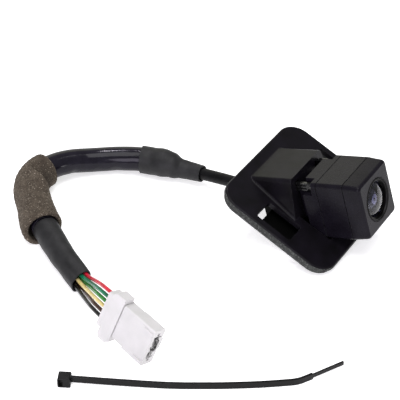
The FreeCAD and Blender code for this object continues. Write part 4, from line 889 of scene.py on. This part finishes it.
def rear_sleeve():
    """The second sleeve, flattened and ribbed by the six wires towards its end."""
    start, end = on_harness(REAR_SLEEVE)

    def outer(s, a):
        t = (s - start) / MM
        wide = stepped([(6, 5.15), (14, 5.0), (22, 4.9)], t)
        high = stepped([(0, 5.15), (6, 5.1), (14, 4.8), (22, 4.3), (32, 3.7)], t)
        reach = wide * high / math.hypot(high * math.cos(a - SLEEVE_LEAN), wide * math.sin(a - SLEEVE_LEAN))
        ribs = 0.12 * math.cos(6 * (a - SLEEVE_LEAN)) * stepped([(16, 0.0), (30, 1.0)], t)
        return (reach + ribs + 0.14 * ripple(s, a, 5 * MM, 5 * MM, 9)) * MM

    sleeve = tube("rear_shrunk_sleeve", harness, start, end, outer,
                  lambda s, a: outer(s, a) - SLEEVE_WALL * MM, step=0.4 * MM, sides=72, ease=0.2 * MM)
    finish_piece(sleeve, "camera", finishes["sleeve"], ["rear_shrink_sleeve"])


def rubber_gland():
    """The gland in the camera's rear wall: its flange and groove, then the waisted strain relief."""
    grommet = [(2.48, 9.6), (4.1, 9.6), (4.2, 9.5), (4.2, 8.65), (3.25, 8.65), (3.25, 6.95), (4.1, 6.95)]
    boot = [(4.1, 6.3), (3.95, 5.8), (3.8, 5.5), (3.6, 5.0), (3.45, 3.7), (3.3, 3.35), (3.1, 3.2), (3.15, 2.8),
            (3.3, 2.6), (3.25, 2.2), (3.0, 2.0), (3.05, 1.6), (3.2, 1.4), (3.1, 1.0), (2.95, 0.6), (2.95, 0.25),
            (2.85, 0.2), (2.63, 0.2), (2.48, 4.0)]
    finish_piece(turned("rubber_gland", grommet + boot, CAMERA, sides=64), "camera",
                 finishes["gland"], ["cable_gland"])


def harness_pieces():
    camera_lead()
    taped_bundle()
    front_sleeve()
    conduit()
    foam_wrap()
    rear_sleeve()
    rubber_gland()


# ---------------------------------------------------------------- connector and its wires

WIRES = ["wire_red", "wire_green", "wire_light_green", "wire_cream", "wire_brown", "wire_black"]
ROW_MIDDLE = (len(WIRES) - 1) / 2
BORE_DEPTH = 5.0 * MM         # how far a wire goes into the connector
APPROACH = 4.6 * MM           # how far behind the connector a wire comes into line with its bore


def mating_face():
    """The six contact windows of the nose, narrowed to small square holes just inside its end."""
    form = bmesh.new()
    corners = [(-1, -1), (1, -1), (1, 1), (-1, 1)]
    window, lip, hole = (1.08, 1.88), (0.36, 0.36), (0.3, 0.3)
    sections = ((window, 22.7), (window, 23.2), (lip, 23.1), (hole, 22.7))
    for index in range(len(WIRES)):
        middle = (ROW_MIDDLE - index) * PIN_PITCH
        loops = [[form.verts.new(PLUG @ Vector((middle + x * wide * MM, y * high * MM, station * MM)))
                  for x, y in corners]
                 for (wide, high), station in sections]
        for first, second in zip(loops, loops[1:] + loops[:1]):
            for side in range(len(corners)):
                following = (side + 1) % len(corners)
                form.faces.new([first[side], first[following], second[following], second[side]])
    bmesh.ops.recalc_face_normals(form, faces=form.faces)
    mesh = bpy.data.meshes.new("mating_face")
    form.to_mesh(mesh)
    form.free()
    return new_object("mating_face", mesh)


def connector_pieces():
    made = [finish_piece(mating_face(), "camera", finishes["connector"])]
    for node, name, width, body in (
            ("connector_housing", "plug_moulding", 0.22, "camera"),
            ("connector_retainer", "plug_retainer", 0.25, "retainer"),
            ("connector_latch", "plug_latch_lever", 0.15, "plug_latch")):
        made.append(finish_piece(softened(node, name, width), body, finishes["connector"],
                                 [node]))
    return made + [nodes["connector_terminals"]]


def wire_pieces(plug):
    """Six wires in two staggered rows inside the sleeve, which fan out into one row at the connector."""
    begin, middle, mouth = WIRES_ROUTE
    direction = (mouth - begin).normalized()
    spread = Vector((0.2, 0.6, 0.8))
    spread = (spread - direction * spread.dot(direction)).normalized()
    aside = direction.cross(spread)
    for index, label in enumerate(WIRES):
        place = (ROW_MIDDLE - index) * MM
        row = (0.85 if index % 2 else -0.85) * MM
        bore = PLUG @ Vector(((ROW_MIDDLE - index) * PIN_PITCH, 0, BORE_DEPTH))
        approach = PLUG @ Vector(((ROW_MIDDLE - index) * PIN_PITCH, 0, -APPROACH))
        points = [begin + spread * (place * 0.9) + aside * row,
                  middle + spread * place + aside * row,
                  mouth + spread * (place * 1.1) + aside * (row * 0.8),
                  (mouth + approach) * 0.5 + spread * (place * 0.6) + aside * (row * 0.3)
                  + Vector((0, 0, 0.1 * place)),
                  approach,
                  bore]
        data = nurbs(label, points)
        data.bevel_depth = WIRE_RADIUS * MM
        data.bevel_resolution = 6
        data.use_fill_caps = True
        wire = new_object(label.replace("wire_", "insulated_wire_"), data)
        finish_piece(wire, "camera", finishes[label], [label])
        Line(points).length


# ---------------------------------------------------------------- cable tie


def tie_pieces():
    for node, name, width, body in (("tie_strap", "nylon_tie", 0.15, "tie"),
                                    ("tie_pawl", "nylon_tie_pawl", 0.08, "pawl")):
        finish_piece(softened(node, name, width), body, finishes["nylon"], [node])


camera_body()
bezel_group()
lens_pieces()
carried_nodes()
harness_pieces()
wire_pieces(connector_pieces())
tie_pieces()
